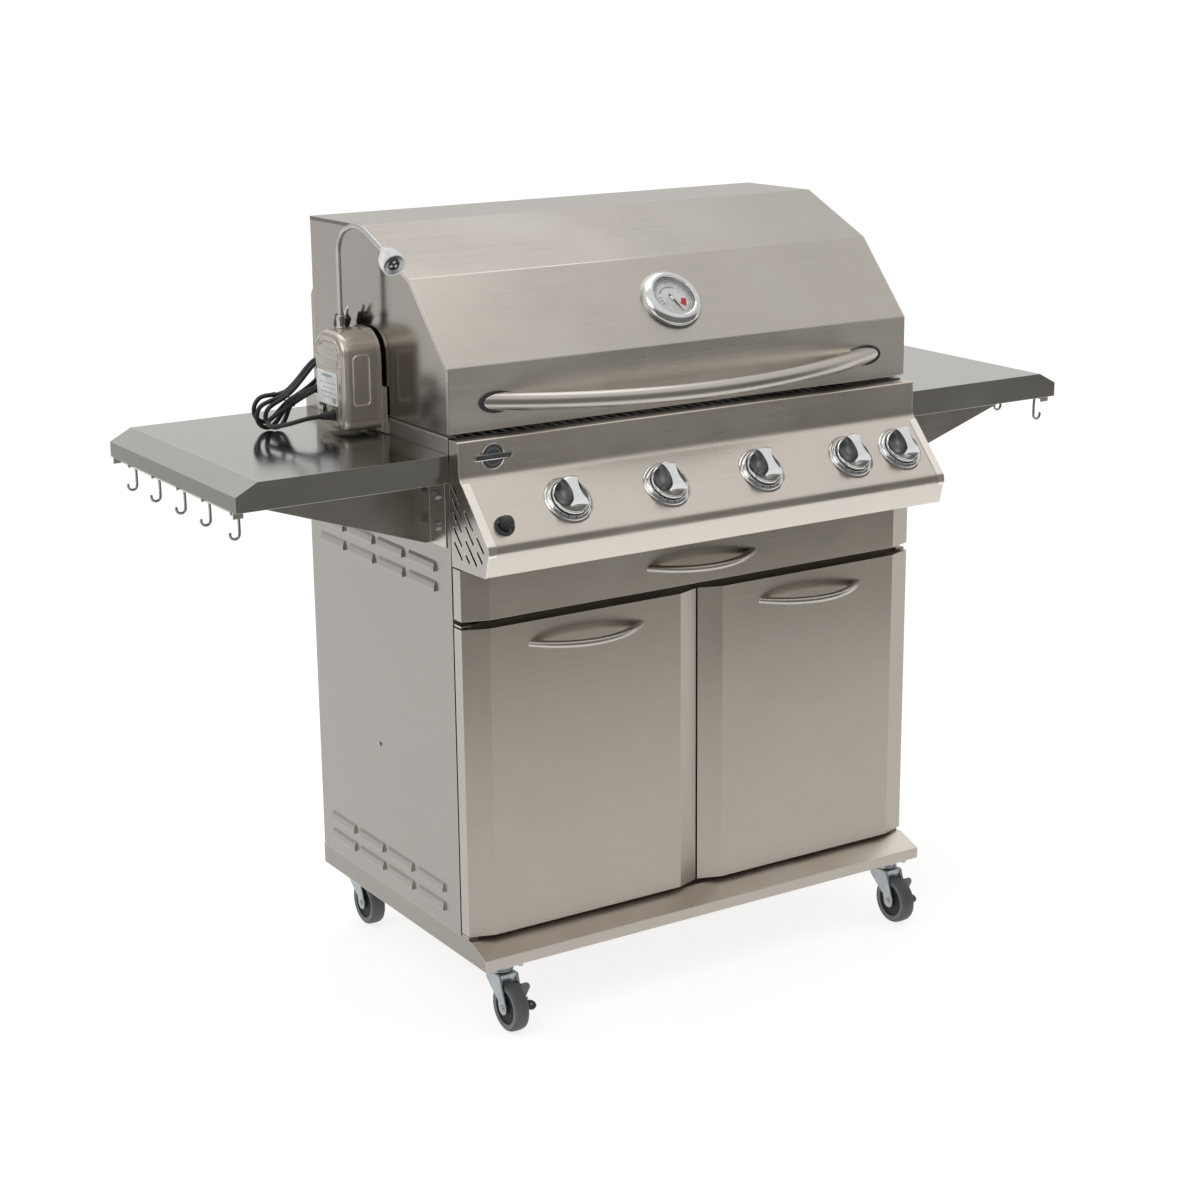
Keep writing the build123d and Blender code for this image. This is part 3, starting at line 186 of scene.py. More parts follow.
def steel(name, base, rough=0.30, grain="X", var=0.06, bumps=0.005, aniso=0.45, edge=0.45, cloud=2.6, side=None, side_grain="Y", top=None, front=None, side_dr=0.0, side_aniso=0.0, metal=1.0):
    """Brushed stainless sheet: long fine grain, slow clouding, smudges, and edges brightened as a painted highlight.
    Faces that look along X take the second grain direction, because each end sheet is a separate blank; they also take
    the second tone, which like the top and front tones is painted light and shade by which way a face looks."""
    m, nt, bs = new_mat(name)
    tc = node(nt, "ShaderNodeTexCoord")
    sp = node(nt, "ShaderNodeSeparateXYZ")
    nt.links.new(tc.outputs["Normal"], sp.inputs[0])
    mask = math_node(nt, "GREATER_THAN", math_node(nt, "ABSOLUTE", sp.outputs[0], 0.0), 0.72)
    vecs = []
    for g in (grain, side_grain):
        mp = node(nt, "ShaderNodeMapping")
        mp.inputs["Scale"].default_value = GRAIN[g]
        nt.links.new(tc.outputs["Object"], mp.inputs["Vector"])
        vecs.append(mp.outputs["Vector"])
    vec = mix_vec(nt, mask, vecs[0], vecs[1])
    nz = node(nt, "ShaderNodeTexNoise")
    nz.inputs["Scale"].default_value = 1.0
    nz.inputs["Detail"].default_value = 1.0
    nz.inputs["Roughness"].default_value = 0.5
    nt.links.new(vec, nz.inputs["Vector"])
    fine = nz.outputs["Fac"]
    clouds = mapped_noise(nt, (1, 1, 1), cloud, 2.0, 0.50, 0.6, (3.1, 0.7, 1.9))
    smudge = mapped_noise(nt, (1, 1, 1), 14.0, 1.0, 0.5, 0.5, (0.4, 5.7, 2.2))
    tint = math_node(nt, "ADD", math_node(nt, "MULTIPLY", fine, 0.20), math_node(nt, "MULTIPLY", smudge, 0.15))
    tint = math_node(nt, "ADD", tint, math_node(nt, "MULTIPLY", clouds, 0.65))
    # second, top and front tones: painted light and shade, lighter or darker copies of the steel chosen by which way
    # the face looks
    masks = [None, mask]
    tones = [base, side or base]
    if top:
        masks.append(math_node(nt, "GREATER_THAN", sp.outputs[2], 0.72))
        tones.append(top)
    if front:
        masks.append(math_node(nt, "LESS_THAN", sp.outputs[1], -0.92))
        tones.append(front)
    col = None
    for mk, b in zip(masks, tones):
        lo = tuple(c * (1 - var) for c in b)
        hi = tuple(min(1.0, c * (1 + var)) for c in b)
        warm = (b[0] * 1.02, b[1], b[2] * 0.97)
        c = ramp(nt, tint, [(0.32, lo), (0.50, warm), (0.68, hi)])
        col = c if col is None else mix_col(nt, mk, col, c)
    # painted highlight: edges and folds brightened toward a lighter tone
    em = edge_mask(nt)
    bright = tuple(min(1.0, c * 1.7 + 0.10) for c in base)
    col = mix_col(nt, math_node(nt, "MULTIPLY", em, edge), col, bright)
    nt.links.new(col, bs.inputs["Base Color"])
    r = math_node(nt, "ADD", maprange(nt, clouds, 0.3, 0.7, rough - 0.05, rough + 0.05),
                  math_node(nt, "MULTIPLY", math_node(nt, "SUBTRACT", fine, 0.5), 0.05))
    r = math_node(nt, "ADD", r, math_node(nt, "MULTIPLY", math_node(nt, "SUBTRACT", smudge, 0.5), 0.08))
    if side_dr:
        r = math_node(nt, "ADD", r, math_node(nt, "MULTIPLY", mask, side_dr))
    nt.links.new(r, bs.inputs["Roughness"])
    bs.inputs["Metallic"].default_value = metal
    if side_aniso:
        nt.links.new(maprange(nt, mask, 0.0, 1.0, aniso, side_aniso), bs.inputs["Anisotropic"])
    else:
        bs.inputs["Anisotropic"].default_value = aniso
    bs.inputs["Anisotropic Rotation"].default_value = 0.25
    ax = []
    for g in (grain, side_grain):
        cmb = node(nt, "ShaderNodeCombineXYZ")
        for i in range(3):
            cmb.inputs[i].default_value = AXIS[g][i]
        ax.append(cmb.outputs[0])
    vt = node(nt, "ShaderNodeVectorTransform", vector_type="VECTOR", convert_from="OBJECT", convert_to="WORLD")
    nt.links.new(mix_vec(nt, mask, ax[0], ax[1]), vt.inputs[0])
    nt.links.new(vt.outputs[0], bs.inputs["Tangent"])
    bump(nt, bs, fine, bumps, 0.00020)
    return m


def chrome(name, base=(0.80, 0.80, 0.79), rough=0.08, smudge=0.06, bumps=0.03):
    """Polished plate with faint smudges and hairline scratches."""
    m, nt, bs = new_mat(name)
    sm = mapped_noise(nt, (1, 1, 1), 55.0, 4.0, 0.6, 0.4)
    hair = mapped_noise(nt, (60.0, 900.0, 900.0), 1.0, 2.0, 0.5)
    col = ramp(nt, sm, [(0.3, tuple(c * 0.90 for c in base)), (0.7, base)])
    # painted highlight: edges lightened toward near-white
    col = mix_col(nt, math_node(nt, "MULTIPLY", edge_mask(nt, 0.0008), 0.3), col, (0.95, 0.95, 0.94))
    nt.links.new(col, bs.inputs["Base Color"])
    nt.links.new(math_node(nt, "ADD", maprange(nt, sm, 0.3, 0.7, rough, rough + smudge), math_node(nt, "MULTIPLY", hair, 0.03)), bs.inputs["Roughness"])
    bs.inputs["Metallic"].default_value = 1.0
    bump(nt, bs, hair, bumps, 0.0001)
    return m


def zinc(name, base=(0.60, 0.63, 0.66), rough=0.34):
    """Zinc-plated pressed steel with a faint spangle."""
    m, nt, bs = new_mat(name)
    tc = node(nt, "ShaderNodeTexCoord")
    vo = node(nt, "ShaderNodeTexVoronoi")
    vo.inputs["Scale"].default_value = 420.0
    nt.links.new(tc.outputs["Object"], vo.inputs["Vector"])
    cl = mapped_noise(nt, (1, 1, 1), 70.0, 4.0, 0.6)
    c = ramp(nt, cl, [(0.3, tuple(v * 0.80 for v in base)), (0.7, tuple(min(1, v * 1.10) for v in base))])
    c = mix_col(nt, 0.10, c, vo.outputs["Color"], "OVERLAY")
    # painted highlight: edges lightened toward a pale tone
    c = mix_col(nt, math_node(nt, "MULTIPLY", edge_mask(nt, 0.001), 0.4), c, (0.86, 0.88, 0.90))
    nt.links.new(c, bs.inputs["Base Color"])
    nt.links.new(maprange(nt, cl, 0.3, 0.7, rough - 0.06, rough + 0.10), bs.inputs["Roughness"])
    bs.inputs["Metallic"].default_value = 1.0
    bump(nt, bs, cl, 0.10, 0.0002)
    return m


def plastic(name, base, rough=0.42, size=900.0, bumps=0.12, edge=0.25, metallic=0.0, dust=0.10):
    """Moulded plastic or rubber: fine moulded texture, a fine lighter dust speckle, edges lightened as a painted
    highlight.
    """
    m, nt, bs = new_mat(name)
    fine = mapped_noise(nt, (1, 1, 1), size, 3.0, 0.6)
    cl = mapped_noise(nt, (1, 1, 1), 38.0, 4.0, 0.6, 0.5)
    c = ramp(nt, cl, [(0.3, tuple(v * 0.78 for v in base)), (0.7, tuple(min(1, v * 1.18 + 0.004) for v in base))])
    c = mix_col(nt, math_node(nt, "MULTIPLY", fine, dust), c, tuple(min(1, v * 1.6 + 0.03) for v in base))
    # painted highlight: edges lightened
    c = mix_col(nt, math_node(nt, "MULTIPLY", edge_mask(nt, 0.001), edge), c, tuple(min(1, v * 2.0 + 0.05) for v in base))
    nt.links.new(c, bs.inputs["Base Color"])
    nt.links.new(maprange(nt, cl, 0.3, 0.7, rough - 0.06, rough + 0.10), bs.inputs["Roughness"])
    bs.inputs["Metallic"].default_value = metallic
    bump(nt, bs, fine, bumps, 0.0002)
    return m


def paint(name, base, rough=0.45, edge=0.10):
    return plastic(name, base, rough, 600.0, 0.05, edge, 0.0, 0.04)


def glass(name):
    m, nt, bs = new_mat(name)
    sm = mapped_noise(nt, (1, 1, 1), 45.0, 3.0, 0.5)
    nt.links.new(ramp(nt, sm, [(0.3, (0.93, 0.94, 0.94)), (0.7, (1.0, 1.0, 1.0))]), bs.inputs["Base Color"])
    nt.links.new(maprange(nt, sm, 0.35, 0.7, 0.01, 0.05), bs.inputs["Roughness"])
    bs.inputs["Transmission Weight"].default_value = 1.0
    bs.inputs["IOR"].default_value = 1.12
    bump(nt, bs, sm, 0.02, 0.0002)
    return m


M = {}
# The lid, fascia, door, cabinet, frame, tray, shelf and bracket steels are one brushed finish; their different base
# tones are painted light and shade, and so are the side, top and front tones passed to steel().
M["lid"] = steel("steel_lid", (0.49, 0.465, 0.435), 0.29, "X", side=(0.29, 0.275, 0.258), front=(0.78, 0.745, 0.70), side_dr=-0.12, side_aniso=0.75, edge=0.9)
M["panel"] = steel("steel_panel", (0.66, 0.615, 0.565), 0.26, "X", edge=0.8, side=(0.40, 0.385, 0.365))
M["door"] = steel("steel_door", (0.40, 0.368, 0.325), 0.30, "X", side=(0.42, 0.40, 0.37))
M["cabinet"] = steel("steel_cabinet", (0.38, 0.365, 0.34), 0.32, "X", side=(0.345, 0.332, 0.316))
M["frame"] = steel("steel_frame", (0.38, 0.36, 0.33), 0.30, "X", side=(0.50, 0.48, 0.44))
M["fold_dark"] = steel("steel_fold_shade", (0.36, 0.345, 0.32), 0.30, "X", side=(0.125, 0.12, 0.11))
# steel_lap: the lap strip's bright tone is a painted highlight and its darker side tone is painted shade
M["lap"] = steel("steel_lap", (0.88, 0.84, 0.79), 0.22, "Z", side=(0.40, 0.385, 0.365))
M["bracket"] = steel("steel_bracket", (0.36, 0.345, 0.32), 0.26, "X", side=(0.52, 0.50, 0.46))
M["tray"] = steel("steel_tray", (0.44, 0.41, 0.375), 0.28, "X", side=(0.30, 0.287, 0.268), top=(0.80, 0.745, 0.68), edge=1.0)
M["shelf"] = steel("steel_shelf", (0.52, 0.51, 0.49), 0.17, "Y", aniso=0.25, side=(0.165, 0.16, 0.15), front=(0.46, 0.45, 0.42), top=(0.475, 0.47, 0.455))
M["handle"] = steel("steel_handle", (0.52, 0.495, 0.465), 0.30, "X", aniso=0.2, bumps=0.03)
M["motor"] = steel("steel_motor", (0.60, 0.55, 0.495), 0.19, "Z", aniso=0.2, bumps=0.02, side_grain="Z", side=(0.37, 0.345, 0.31), metal=0.66)
M["firebox"] = steel("steel_firebox", (0.30, 0.29, 0.275), 0.38, "X", var=0.14, side=(0.72, 0.69, 0.64))
M["grate"] = steel("steel_grate", (0.42, 0.41, 0.40), 0.36, "Y", var=0.2)
M["burner"] = steel("steel_burner", (0.34, 0.32, 0.30), 0.45, "Y", var=0.25)
M["chrome"] = chrome("chrome_trim", (0.72, 0.72, 0.71), 0.06)
# hook_chrome is a darker copy of the trim chrome: painted shade
M["hook"] = chrome("hook_chrome", (0.40, 0.40, 0.385), 0.16)
M["knob"] = chrome("knob_chrome", (0.78, 0.79, 0.80), 0.10)
M["neck"] = chrome("neck_chrome", (0.50, 0.50, 0.49), 0.18)
M["silver"] = paint("lamp_silver", (0.70, 0.71, 0.71), 0.28)
M["reflector"] = chrome("lamp_reflector", (0.42, 0.43, 0.43), 0.20)
M["brass"] = chrome("manifold_brass", (0.66, 0.52, 0.28), 0.28, 0.12)
M["zinc"] = zinc("zinc_steel", (0.42, 0.45, 0.47))
M["gunmetal"] = plastic("knob_inset", (0.115, 0.120, 0.122), 0.30, 700.0, 0.05, 0.2, 0.85)
M["black"] = plastic("black_plastic", (0.022, 0.022, 0.023), 0.38)
M["rubber"] = plastic("black_rubber", (0.018, 0.018, 0.018), 0.60, 500.0, 0.2)
M["cord"] = plastic("cord_black", (0.016, 0.016, 0.017), 0.40, 800.0, 0.10)
M["tyre"] = plastic("grey_tyre", (0.072, 0.074, 0.076), 0.55, 500.0, 0.18, 0.15)
M["wall"] = plastic("tyre_wall", (0.135, 0.14, 0.145), 0.50, 500.0, 0.12, 0.15)
M["dial"] = paint("dial_face", (0.80, 0.80, 0.79), 0.40)
M["mark"] = paint("dial_mark", (0.02, 0.02, 0.02), 0.45)
M["red"] = paint("dial_red", (0.55, 0.02, 0.02), 0.42)
M["label"] = paint("label_white", (0.78, 0.79, 0.80), 0.38)
M["label_grey"] = paint("label_grey", (0.36, 0.37, 0.38), 0.42)
M["glass"] = glass("clear_glass")
M["dark"] = plastic("dark_gap", (0.010, 0.010, 0.010), 0.7)
M["brass_pin"] = chrome("prong_nickel", (0.70, 0.69, 0.64), 0.2)
M["led"] = paint("led_yellow", (0.85, 0.78, 0.45), 0.25)

CAD_MAT = {
    "base_tray": "tray", "cabinet_sides": "cabinet", "cabinet_back": "cabinet", "front_frame": "frame",
    "firebox": "firebox", "rear_hood": "lid", "control_panel": "panel", "control_bezels": "chrome",
    "name_plate": "chrome", "gas_manifold": "brass", "burners": "burner", "flame_tamers": "burner",
    "cooking_grates": "grate", "warming_rack": "grate", "side_shelves": "shelf", "shelf_brackets": "bracket",
    "hook_rails": "handle", "caster_plates": "zinc", "fasteners": "zinc", "motor_housing": "motor",
    "motor_bracket": "motor", "cord_gland": "black", "gooseneck": "neck", "lamp_head": "silver",
    "power_cord": "cord", "cord_hank": "cord", "power_plug": "black", "door_left": "door",
    "door_left_handle": "handle", "door_right": "door", "door_right_handle": "handle", "drawer_front": "door",
    "drip_pan": "frame", "drawer_handle": "handle", "lid_shell": "lid", "lid_handle": "handle",
    "lid_handle_seats": "rubber", "thermometer_case": "chrome", "thermometer_dial": "dial",
    "thermometer_needle": "mark", "thermometer_lens": "glass", "igniter_button": "black",
    "hooks_left": "hook", "hooks_right": "hook", "brake_left": "black", "brake_right": "black",
    "spit_drive": "frame",
}
for k in range(1, 6):
    CAD_MAT["knob_%d" % k] = "knob"
for c in ("front_left", "front_right", "rear_left", "rear_right"):
    CAD_MAT["fork_" + c] = "zinc"
    CAD_MAT["wheel_" + c] = "tyre"
for n, o in NODES.items():
    for s in o.material_slots:
        s.material = M[CAD_MAT[n]]


# ---------------------------------------------------------------------------
# Mesh helpers, all in millimetres
# ---------------------------------------------------------------------------
def finish_mesh(bm, name, body, mats, replaces=(), angle=35.0, bevel=0.0, seg=2, recalc=True, bev_angle=35.0):
    bmesh.ops.remove_doubles(bm, verts=bm.verts, dist=0.0005)
    if recalc:
        bmesh.ops.recalc_face_normals(bm, faces=bm.faces)
    me = bpy.data.meshes.new(name)
    bmesh.ops.scale(bm, vec=(MM, MM, MM), verts=bm.verts)
    bm.to_mesh(me)
    bm.free()
    me.shade_smooth()
    me.set_sharp_from_angle(angle=math.radians(angle))
    o = bpy.data.objects.new(name, me)
    scene.collection.objects.link(o)
    for m in (mats if isinstance(mats, (list, tuple)) else [mats]):
        me.materials.append(M[m])
    if bevel:
        md = o.modifiers.new("edges", "BEVEL")
        md.width = bevel * MM
        md.segments = seg
        md.limit_method = "ANGLE"
        md.angle_limit = math.radians(bev_angle)
        md.harden_normals = True
    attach(o, body)
    if replaces:
        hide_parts(*replaces)
    return o


def plane(origin, x, n):
    x, n = Vector(x).normalized(), Vector(n).normalized()
    y = n.cross(x).normalized()
    x = y.cross(n).normalized()
    m = Matrix((x, y, n)).transposed().to_4x4()
    m.translation = Vector(origin)
    return m


def lathe(bm, prof, mat=None, seg=64, mi=0, close=True):
    """Turns (radius, height) points about Z; a radius of 0 is a point on the axis."""
    mat = mat or Matrix.Identity(4)
    rings = []
    for r, z in prof:
        if r < 1e-6:
            rings.append([bm.verts.new(mat @ Vector((0, 0, z)))])
        else:
            rings.append([bm.verts.new(mat @ Vector((r * math.cos(2 * math.pi * i / seg), r * math.sin(2 * math.pi * i / seg), z))) for i in range(seg)])
    pairs = list(zip(rings[:-1], rings[1:]))
    if close and len(rings[0]) > 1 and len(rings[-1]) > 1:
        pairs.append((rings[-1], rings[0]))
    for a, b in pairs:
        for i in range(seg):
            j = (i + 1) % seg
            if len(a) == 1 and len(b) == 1:
                continue
            if len(a) == 1:
                vs = (a[0], b[j], b[i])
            elif len(b) == 1:
                vs = (a[i], a[j], b[0])
            else:
                vs = (a[i], a[j], b[j], b[i])
            f = bm.faces.new(vs)
            f.material_index = mi
    return bm


def rbox(bm, x0, x1, y0, y1, z0, z1, r=1.0, seg=3, mat=None, mi=0):
    """Box with rounded edges."""
    t = bmesh.new()
    bmesh.ops.create_cube(t, size=1.0)
    for v in t.verts:
        v.co = Vector(((x0 + x1) / 2 + v.co.x * (x1 - x0), (y0 + y1) / 2 + v.co.y * (y1 - y0), (z0 + z1) / 2 + v.co.z * (z1 - z0)))
    r = min(r, 0.49 * min(x1 - x0, y1 - y0, z1 - z0))
    bmesh.ops.bevel(t, geom=list(t.edges), offset=r, segments=seg, profile=0.5, affect="EDGES")
    merge(bm, t, mat, mi)


def merge(bm, t, mat=None, mi=None):
    vm = {}
    for v in t.verts:
        vm[v] = bm.verts.new((mat @ v.co) if mat else v.co)
    for f in t.faces:
        try:
            g = bm.faces.new([vm[v] for v in f.verts])
        except ValueError:
            continue
        g.material_index = f.material_index if mi is None else mi
    t.free()


def tube(bm, pts, radius, seg=24, mi=0, cap="flat", mat=None, planes=None):
    """Round bar along pts; radius may be a list. planes: optional (normal, d) cuts for the two ends."""
    pts = [Vector(p) for p in pts]
    n = len(pts)
    rad = radius if isinstance(radius, (list, tuple)) else [radius] * n
    tans = []
    for i in range(n):
        a, b = pts[max(0, i - 1)], pts[min(n - 1, i + 1)]
        tans.append((b - a).normalized())
    ref = Vector((0, 0, 1)) if abs(tans[0].z) < 0.9 else Vector((1, 0, 0))
    u = tans[0].cross(ref).normalized()
    rings = []
    if cap == "round":
        steps = 4
        for k in range(steps, 0, -1):
            a = math.pi / 2 * k / steps
            p = pts[0] - tans[0] * rad[0] * math.sin(a)
            rings.append((p, tans[0], u, max(rad[0] * math.cos(a), 1e-4)))
    for i in range(n):
        t = tans[i]
        u = (u - t * u.dot(t)).normalized()
        rings.append((pts[i], t, u, rad[i]))
    if cap == "round":
        steps = 4
        for k in range(1, steps + 1):
            a = math.pi / 2 * k / steps
            p = pts[-1] + tans[-1] * rad[-1] * math.sin(a)
            rings.append((p, tans[-1], u, max(rad[-1] * math.cos(a), 1e-4)))
    vr = []
    for k, (p, t, u_, r) in enumerate(rings):
        w = t.cross(u_).normalized()
        ring = []
        for i in range(seg):
            a = 2 * math.pi * i / seg
            q = p + (u_ * math.cos(a) + w * math.sin(a)) * r
            if planes and k in (0, len(rings) - 1):
                nrm, d = planes[0 if k == 0 else 1]
                nrm = Vector(nrm)
                q = q + t * ((d - q.dot(nrm)) / t.dot(nrm))
            ring.append(bm.verts.new((mat @ q) if mat else q))
        vr.append(ring)
    for a, b in zip(vr[:-1], vr[1:]):
        for i in range(seg):
            j = (i + 1) % seg
            f = bm.faces.new((a[i], a[j], b[j], b[i]))
            f.material_index = mi
    for ring in (vr[0], vr[-1]):
        f = bm.faces.new(ring)
        f.material_index = mi
    return bm


def arc3(p0, p1, p2, n=48):
    p0, p1, p2 = Vector(p0), Vector(p1), Vector(p2)
    a, b = p1 - p0, p2 - p0
    ab = a.cross(b)
    c = p0 + (ab.cross(a) * b.length_squared + b.cross(ab) * a.length_squared) / (2 * ab.length_squared)
    u = (p0 - c).normalized()
    w = ab.normalized().cross(u).normalized()
    r = (p0 - c).length
    ang = math.atan2((p2 - c).dot(w), (p2 - c).dot(u)) % (2 * math.pi)
    return [c + (u * math.cos(ang * i / n) + w * math.sin(ang * i / n)) * r for i in range(n + 1)]


def fillet_line(pts, radii, step=6.0):
    """Points along a polyline whose corners are rounded."""
    pts = [Vector(p) for p in pts]
    out = [pts[0]]
    for i in range(1, len(pts) - 1):
        r = radii[i - 1]
        a, b = (pts[i - 1] - pts[i]).normalized(), (pts[i + 1] - pts[i]).normalized()
        half = a.angle(b) / 2
        t = r / math.tan(half)
        c = pts[i] + (a + b).normalized() * (r / math.sin(half))
        s, e = pts[i] + a * t, pts[i] + b * t
        us, ue = s - c, e - c
        ang = us.angle(ue)
        k = max(3, int(ang / math.radians(step)))
        ax = us.cross(ue).normalized()
        for j in range(k + 1):
            out.append(c + Matrix.Rotation(ang * j / k, 3, ax) @ us)
    out.append(pts[-1])
    return out


def resample(pts, step):
    d = [0.0]
    for a, b in zip(pts[:-1], pts[1:]):
        d.append(d[-1] + (b - a).length)
    n = max(2, int(d[-1] / step))
    out, k = [], 0
    for i in range(n + 1):
        s = d[-1] * i / n
        while k < len(d) - 2 and d[k + 1] < s:
            k += 1
        f = (s - d[k]) / max(1e-9, d[k + 1] - d[k])
        out.append(pts[k].lerp(pts[k + 1], min(1.0, max(0.0, f))))
    return out


def prism(bm, outline, z0, z1, mat=None, mi=0):
    """Straight prism of a closed outline of (x, y) points."""
    mat = mat or Matrix.Identity(4)
    lo = [bm.verts.new(mat @ Vector((x, y, z0))) for x, y in outline]
    hi = [bm.verts.new(mat @ Vector((x, y, z1))) for x, y in outline]
    n = len(outline)
    fs = [bm.faces.new(lo), bm.faces.new(hi)]
    for i in range(n):
        j = (i + 1) % n
        fs.append(bm.faces.new((lo[i], lo[j], hi[j], hi[i])))
    for f in fs:
        f.material_index = mi
    return bm


def ellipse(cx, cy, a, b, n=64):
    return [(cx + a * math.cos(2 * math.pi * i / n), cy + b * math.sin(2 * math.pi * i / n)) for i in range(n)]


def rrect(x0, x1, y0, y1, radii, seg=10, inset=0.0):
    """Rounded rectangle; radii for corners (x0y0, x1y0, x1y1, x0y1)."""
    x0, x1, y0, y1 = x0 + inset, x1 - inset, y0 + inset, y1 - inset
    rs = [max(0.3, r - inset) for r in radii]
    cs = [(x0 + rs[0], y0 + rs[0], 180), (x1 - rs[1], y0 + rs[1], 270), (x1 - rs[2], y1 - rs[2], 0), (x0 + rs[3], y1 - rs[3], 90)]
    out = []
    for (cx, cy, a0), r in zip(cs, rs):
        for k in range(seg + 1):
            a = math.radians(a0 + 90 * k / seg)
            out.append((cx + r * math.cos(a), cy + r * math.sin(a)))
    return out


# ---------------------------------------------------------------------------
# Supply cord of the spit motor: gland, tied bundle of three loops, plug
# ---------------------------------------------------------------------------
CORD_PTS = [
    (-507.0, 54.0, 914.8), (-519.0, 54.2, 914.6), (-531.0, 54.5, 914.0), (-556.0, 62.0, 907.5), (-573.0, 82.0, 901.5),
    (-572.0, 104.0, 902.0), (-560.0, 121.0, 906.5),
]
_E, _V = Vector((0.838, 0.545)), Vector((-0.545, 0.838))


def hank_pt(u, v, y):
    p = Vector((-555.0, 910.5)) + _E * u + _V * v
    return (p.x, y, p.y)


def loop_a(phi, length, r, y0, y1):
    # round the low end: down the upper side, round the tip, back up the lower side
    tie = Vector((38.0, 0.0))
    d = Vector((-math.cos(math.radians(phi)), -math.sin(math.radians(phi))))
    c = tie + d * (length - r)
    rc = r * 1.045
    w = Vector((-d.y, d.x))          # points to the lower side
    out = []
    for k, a in enumerate((-98, -62, -24, 12, 48, 88)):
        q = c + d * (rc * math.cos(math.radians(a))) + w * (rc * math.sin(math.radians(a)))
        out.append(hank_pt(q.x, q.y, y0 + (y1 - y0) * k / 5.0))
    return out


def loop_b(cu, cv, r, y):
    out = []
    for a in (-95, -57, -19, 19, 57, 95):
        out.append(hank_pt(cu + r * 1.045 * math.cos(math.radians(a)), cv + r * 1.045 * math.sin(math.radians(a)), y))
    return out


YS = [124.6, 131.9, 139.2, 146.5]
CORD_PTS += [hank_pt(20.0, -5.5, 123.5), hank_pt(38.0, -7.4, YS[0]), hank_pt(66.0, -11.5, YS[0])]
CORD_PTS += loop_b(104.0, 0.0, 19.5, YS[0])
CORD_PTS += [hank_pt(66.0, 11.5, YS[0]), hank_pt(38.0, 7.6, YS[0])]
CORD_PTS += loop_a(12.0, 50.0, 19.0, YS[0] + 0.4, YS[1] - 0.6)
CORD_PTS += [hank_pt(38.0, -7.4, YS[1]), hank_pt(66.0, -10.5, YS[1])]
CORD_PTS += loop_b(102.0, 1.0, 20.5, YS[1])
CORD_PTS += [hank_pt(66.0, 12.5, YS[1]), hank_pt(38.0, 7.6, YS[1])]
CORD_PTS += loop_a(1.0, 58.0, 20.0, YS[1] + 0.8, YS[2] - 0.4)
CORD_PTS += [hank_pt(38.0, -7.4, YS[2]), hank_pt(66.0, -11.0, YS[2])]
CORD_PTS += loop_b(103.0, -1.0, 19.0, YS[2])
CORD_PTS += [hank_pt(66.0, 10.5, YS[2]), hank_pt(38.0, 7.6, YS[2])]
CORD_PTS += loop_a(-11.0, 55.0, 21.0, YS[2] + 0.8, YS[3])
CORD_PTS += [hank_pt(38.0, -7.4, YS[3]), hank_pt(66.0, -12.0, YS[3] + 0.3), hank_pt(94.0, -13.0, YS[3] + 0.3), hank_pt(116.0, -8.0, YS[3])]
CORD_PTS += [(-447.5, 143.5, 983.0), (-441.5, 139.5, 998.0), (-438.2, 130.8, 1010.0), (-437.5, 124.2, 1021.5)]

cu = bpy.data.curves.new("supply_cord", "CURVE")
cu.dimensions = "3D"
sp = cu.splines.new("NURBS")
sp.points.add(len(CORD_PTS) - 1)
for p, c in zip(sp.points, CORD_PTS):
    p.co = (c[0] * MM, c[1] * MM, c[2] * MM, 1.0)
sp.order_u = 3
sp.use_endpoint_u = True
sp.resolution_u = 10
cu.bevel_depth = 0.0035
cu.bevel_resolution = 5
cu.use_fill_caps = True
cord = bpy.data.objects.new("supply_cord", cu)
scene.collection.objects.link(cord)
cu.materials.append(M["cord"])
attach(cord, "root")
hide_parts("power_cord", "cord_hank")

# plug: moulded body with grip ridges, strain relief rings, two blades and a ground pin
PL = plane((-437.5, 124.2, 1021.5), (1, 0, 0), (0.0, -0.5, 0.866))
bm = bmesh.new()
prof = [(0.0, -1.0), (4.3, -1.0)]
for k in range(5):
    z = 0.8 + k * 2.7
    r = 4.5 + 0.4 * k
    prof += [(r, z), (r + 0.35, z + 0.4), (r + 0.35, z + 1.4), (r - 0.25, z + 1.8), (r - 0.25, z + 2.4)]
prof += [(6.3, 14.4), (0.0, 14.4)]
lathe(bm, prof, PL, 32)
t = bmesh.new()
rings = []
for z, hx, hy, r in ((13.0, 8.2, 6.2, 4.5), (14.2, 9.6, 7.4, 4.5), (18.0, 10.4, 8.1, 4.0), (24.0, 10.8, 8.4, 3.6), (31.0, 11.0, 8.5, 3.4), (35.6, 11.0, 8.5, 3.0), (36.7, 10.2, 7.8, 2.4)):
    rings.append([t.verts.new(Vector((x, y, z))) for x, y in rrect(-hx, hx, -hy, hy, [r] * 4, 6)])
for a, b in zip(rings[:-1], rings[1:]):
    for i in range(len(a)):
        j = (i + 1) % len(a)
        t.faces.new((a[i], a[j], b[j], b[i]))
t.faces.new(rings[0])
t.faces.new(rings[-1])
merge(bm, t, PL, 0)
for k in range(3):
    for s in (-1, 1):
        rbox(bm, s * 10.9 - 0.5, s * 10.9 + 0.5, -5.5, 5.5, 19.5 + k * 3.4, 21.0 + k * 3.4, 0.4, 2, PL, 0)
for s in (-1, 1):
    rbox(bm, s * 6 - 0.8, s * 6 + 0.8, -0.65, 5.65, 36.0, 52.8, 0.5, 2, PL, 1)
lathe(bm, [(0, 35.8), (2.35, 35.8), (2.35, 52.2), (1.9, 53.9), (1.0, 54.8), (0, 55.0)], PL @ Matrix.Translation((0, -4.5, 0)), 24, 1)
plug = finish_mesh(bm, "plug_moulding", "root", ["black", "brass_pin"], ["power_plug"], bevel=0.25)

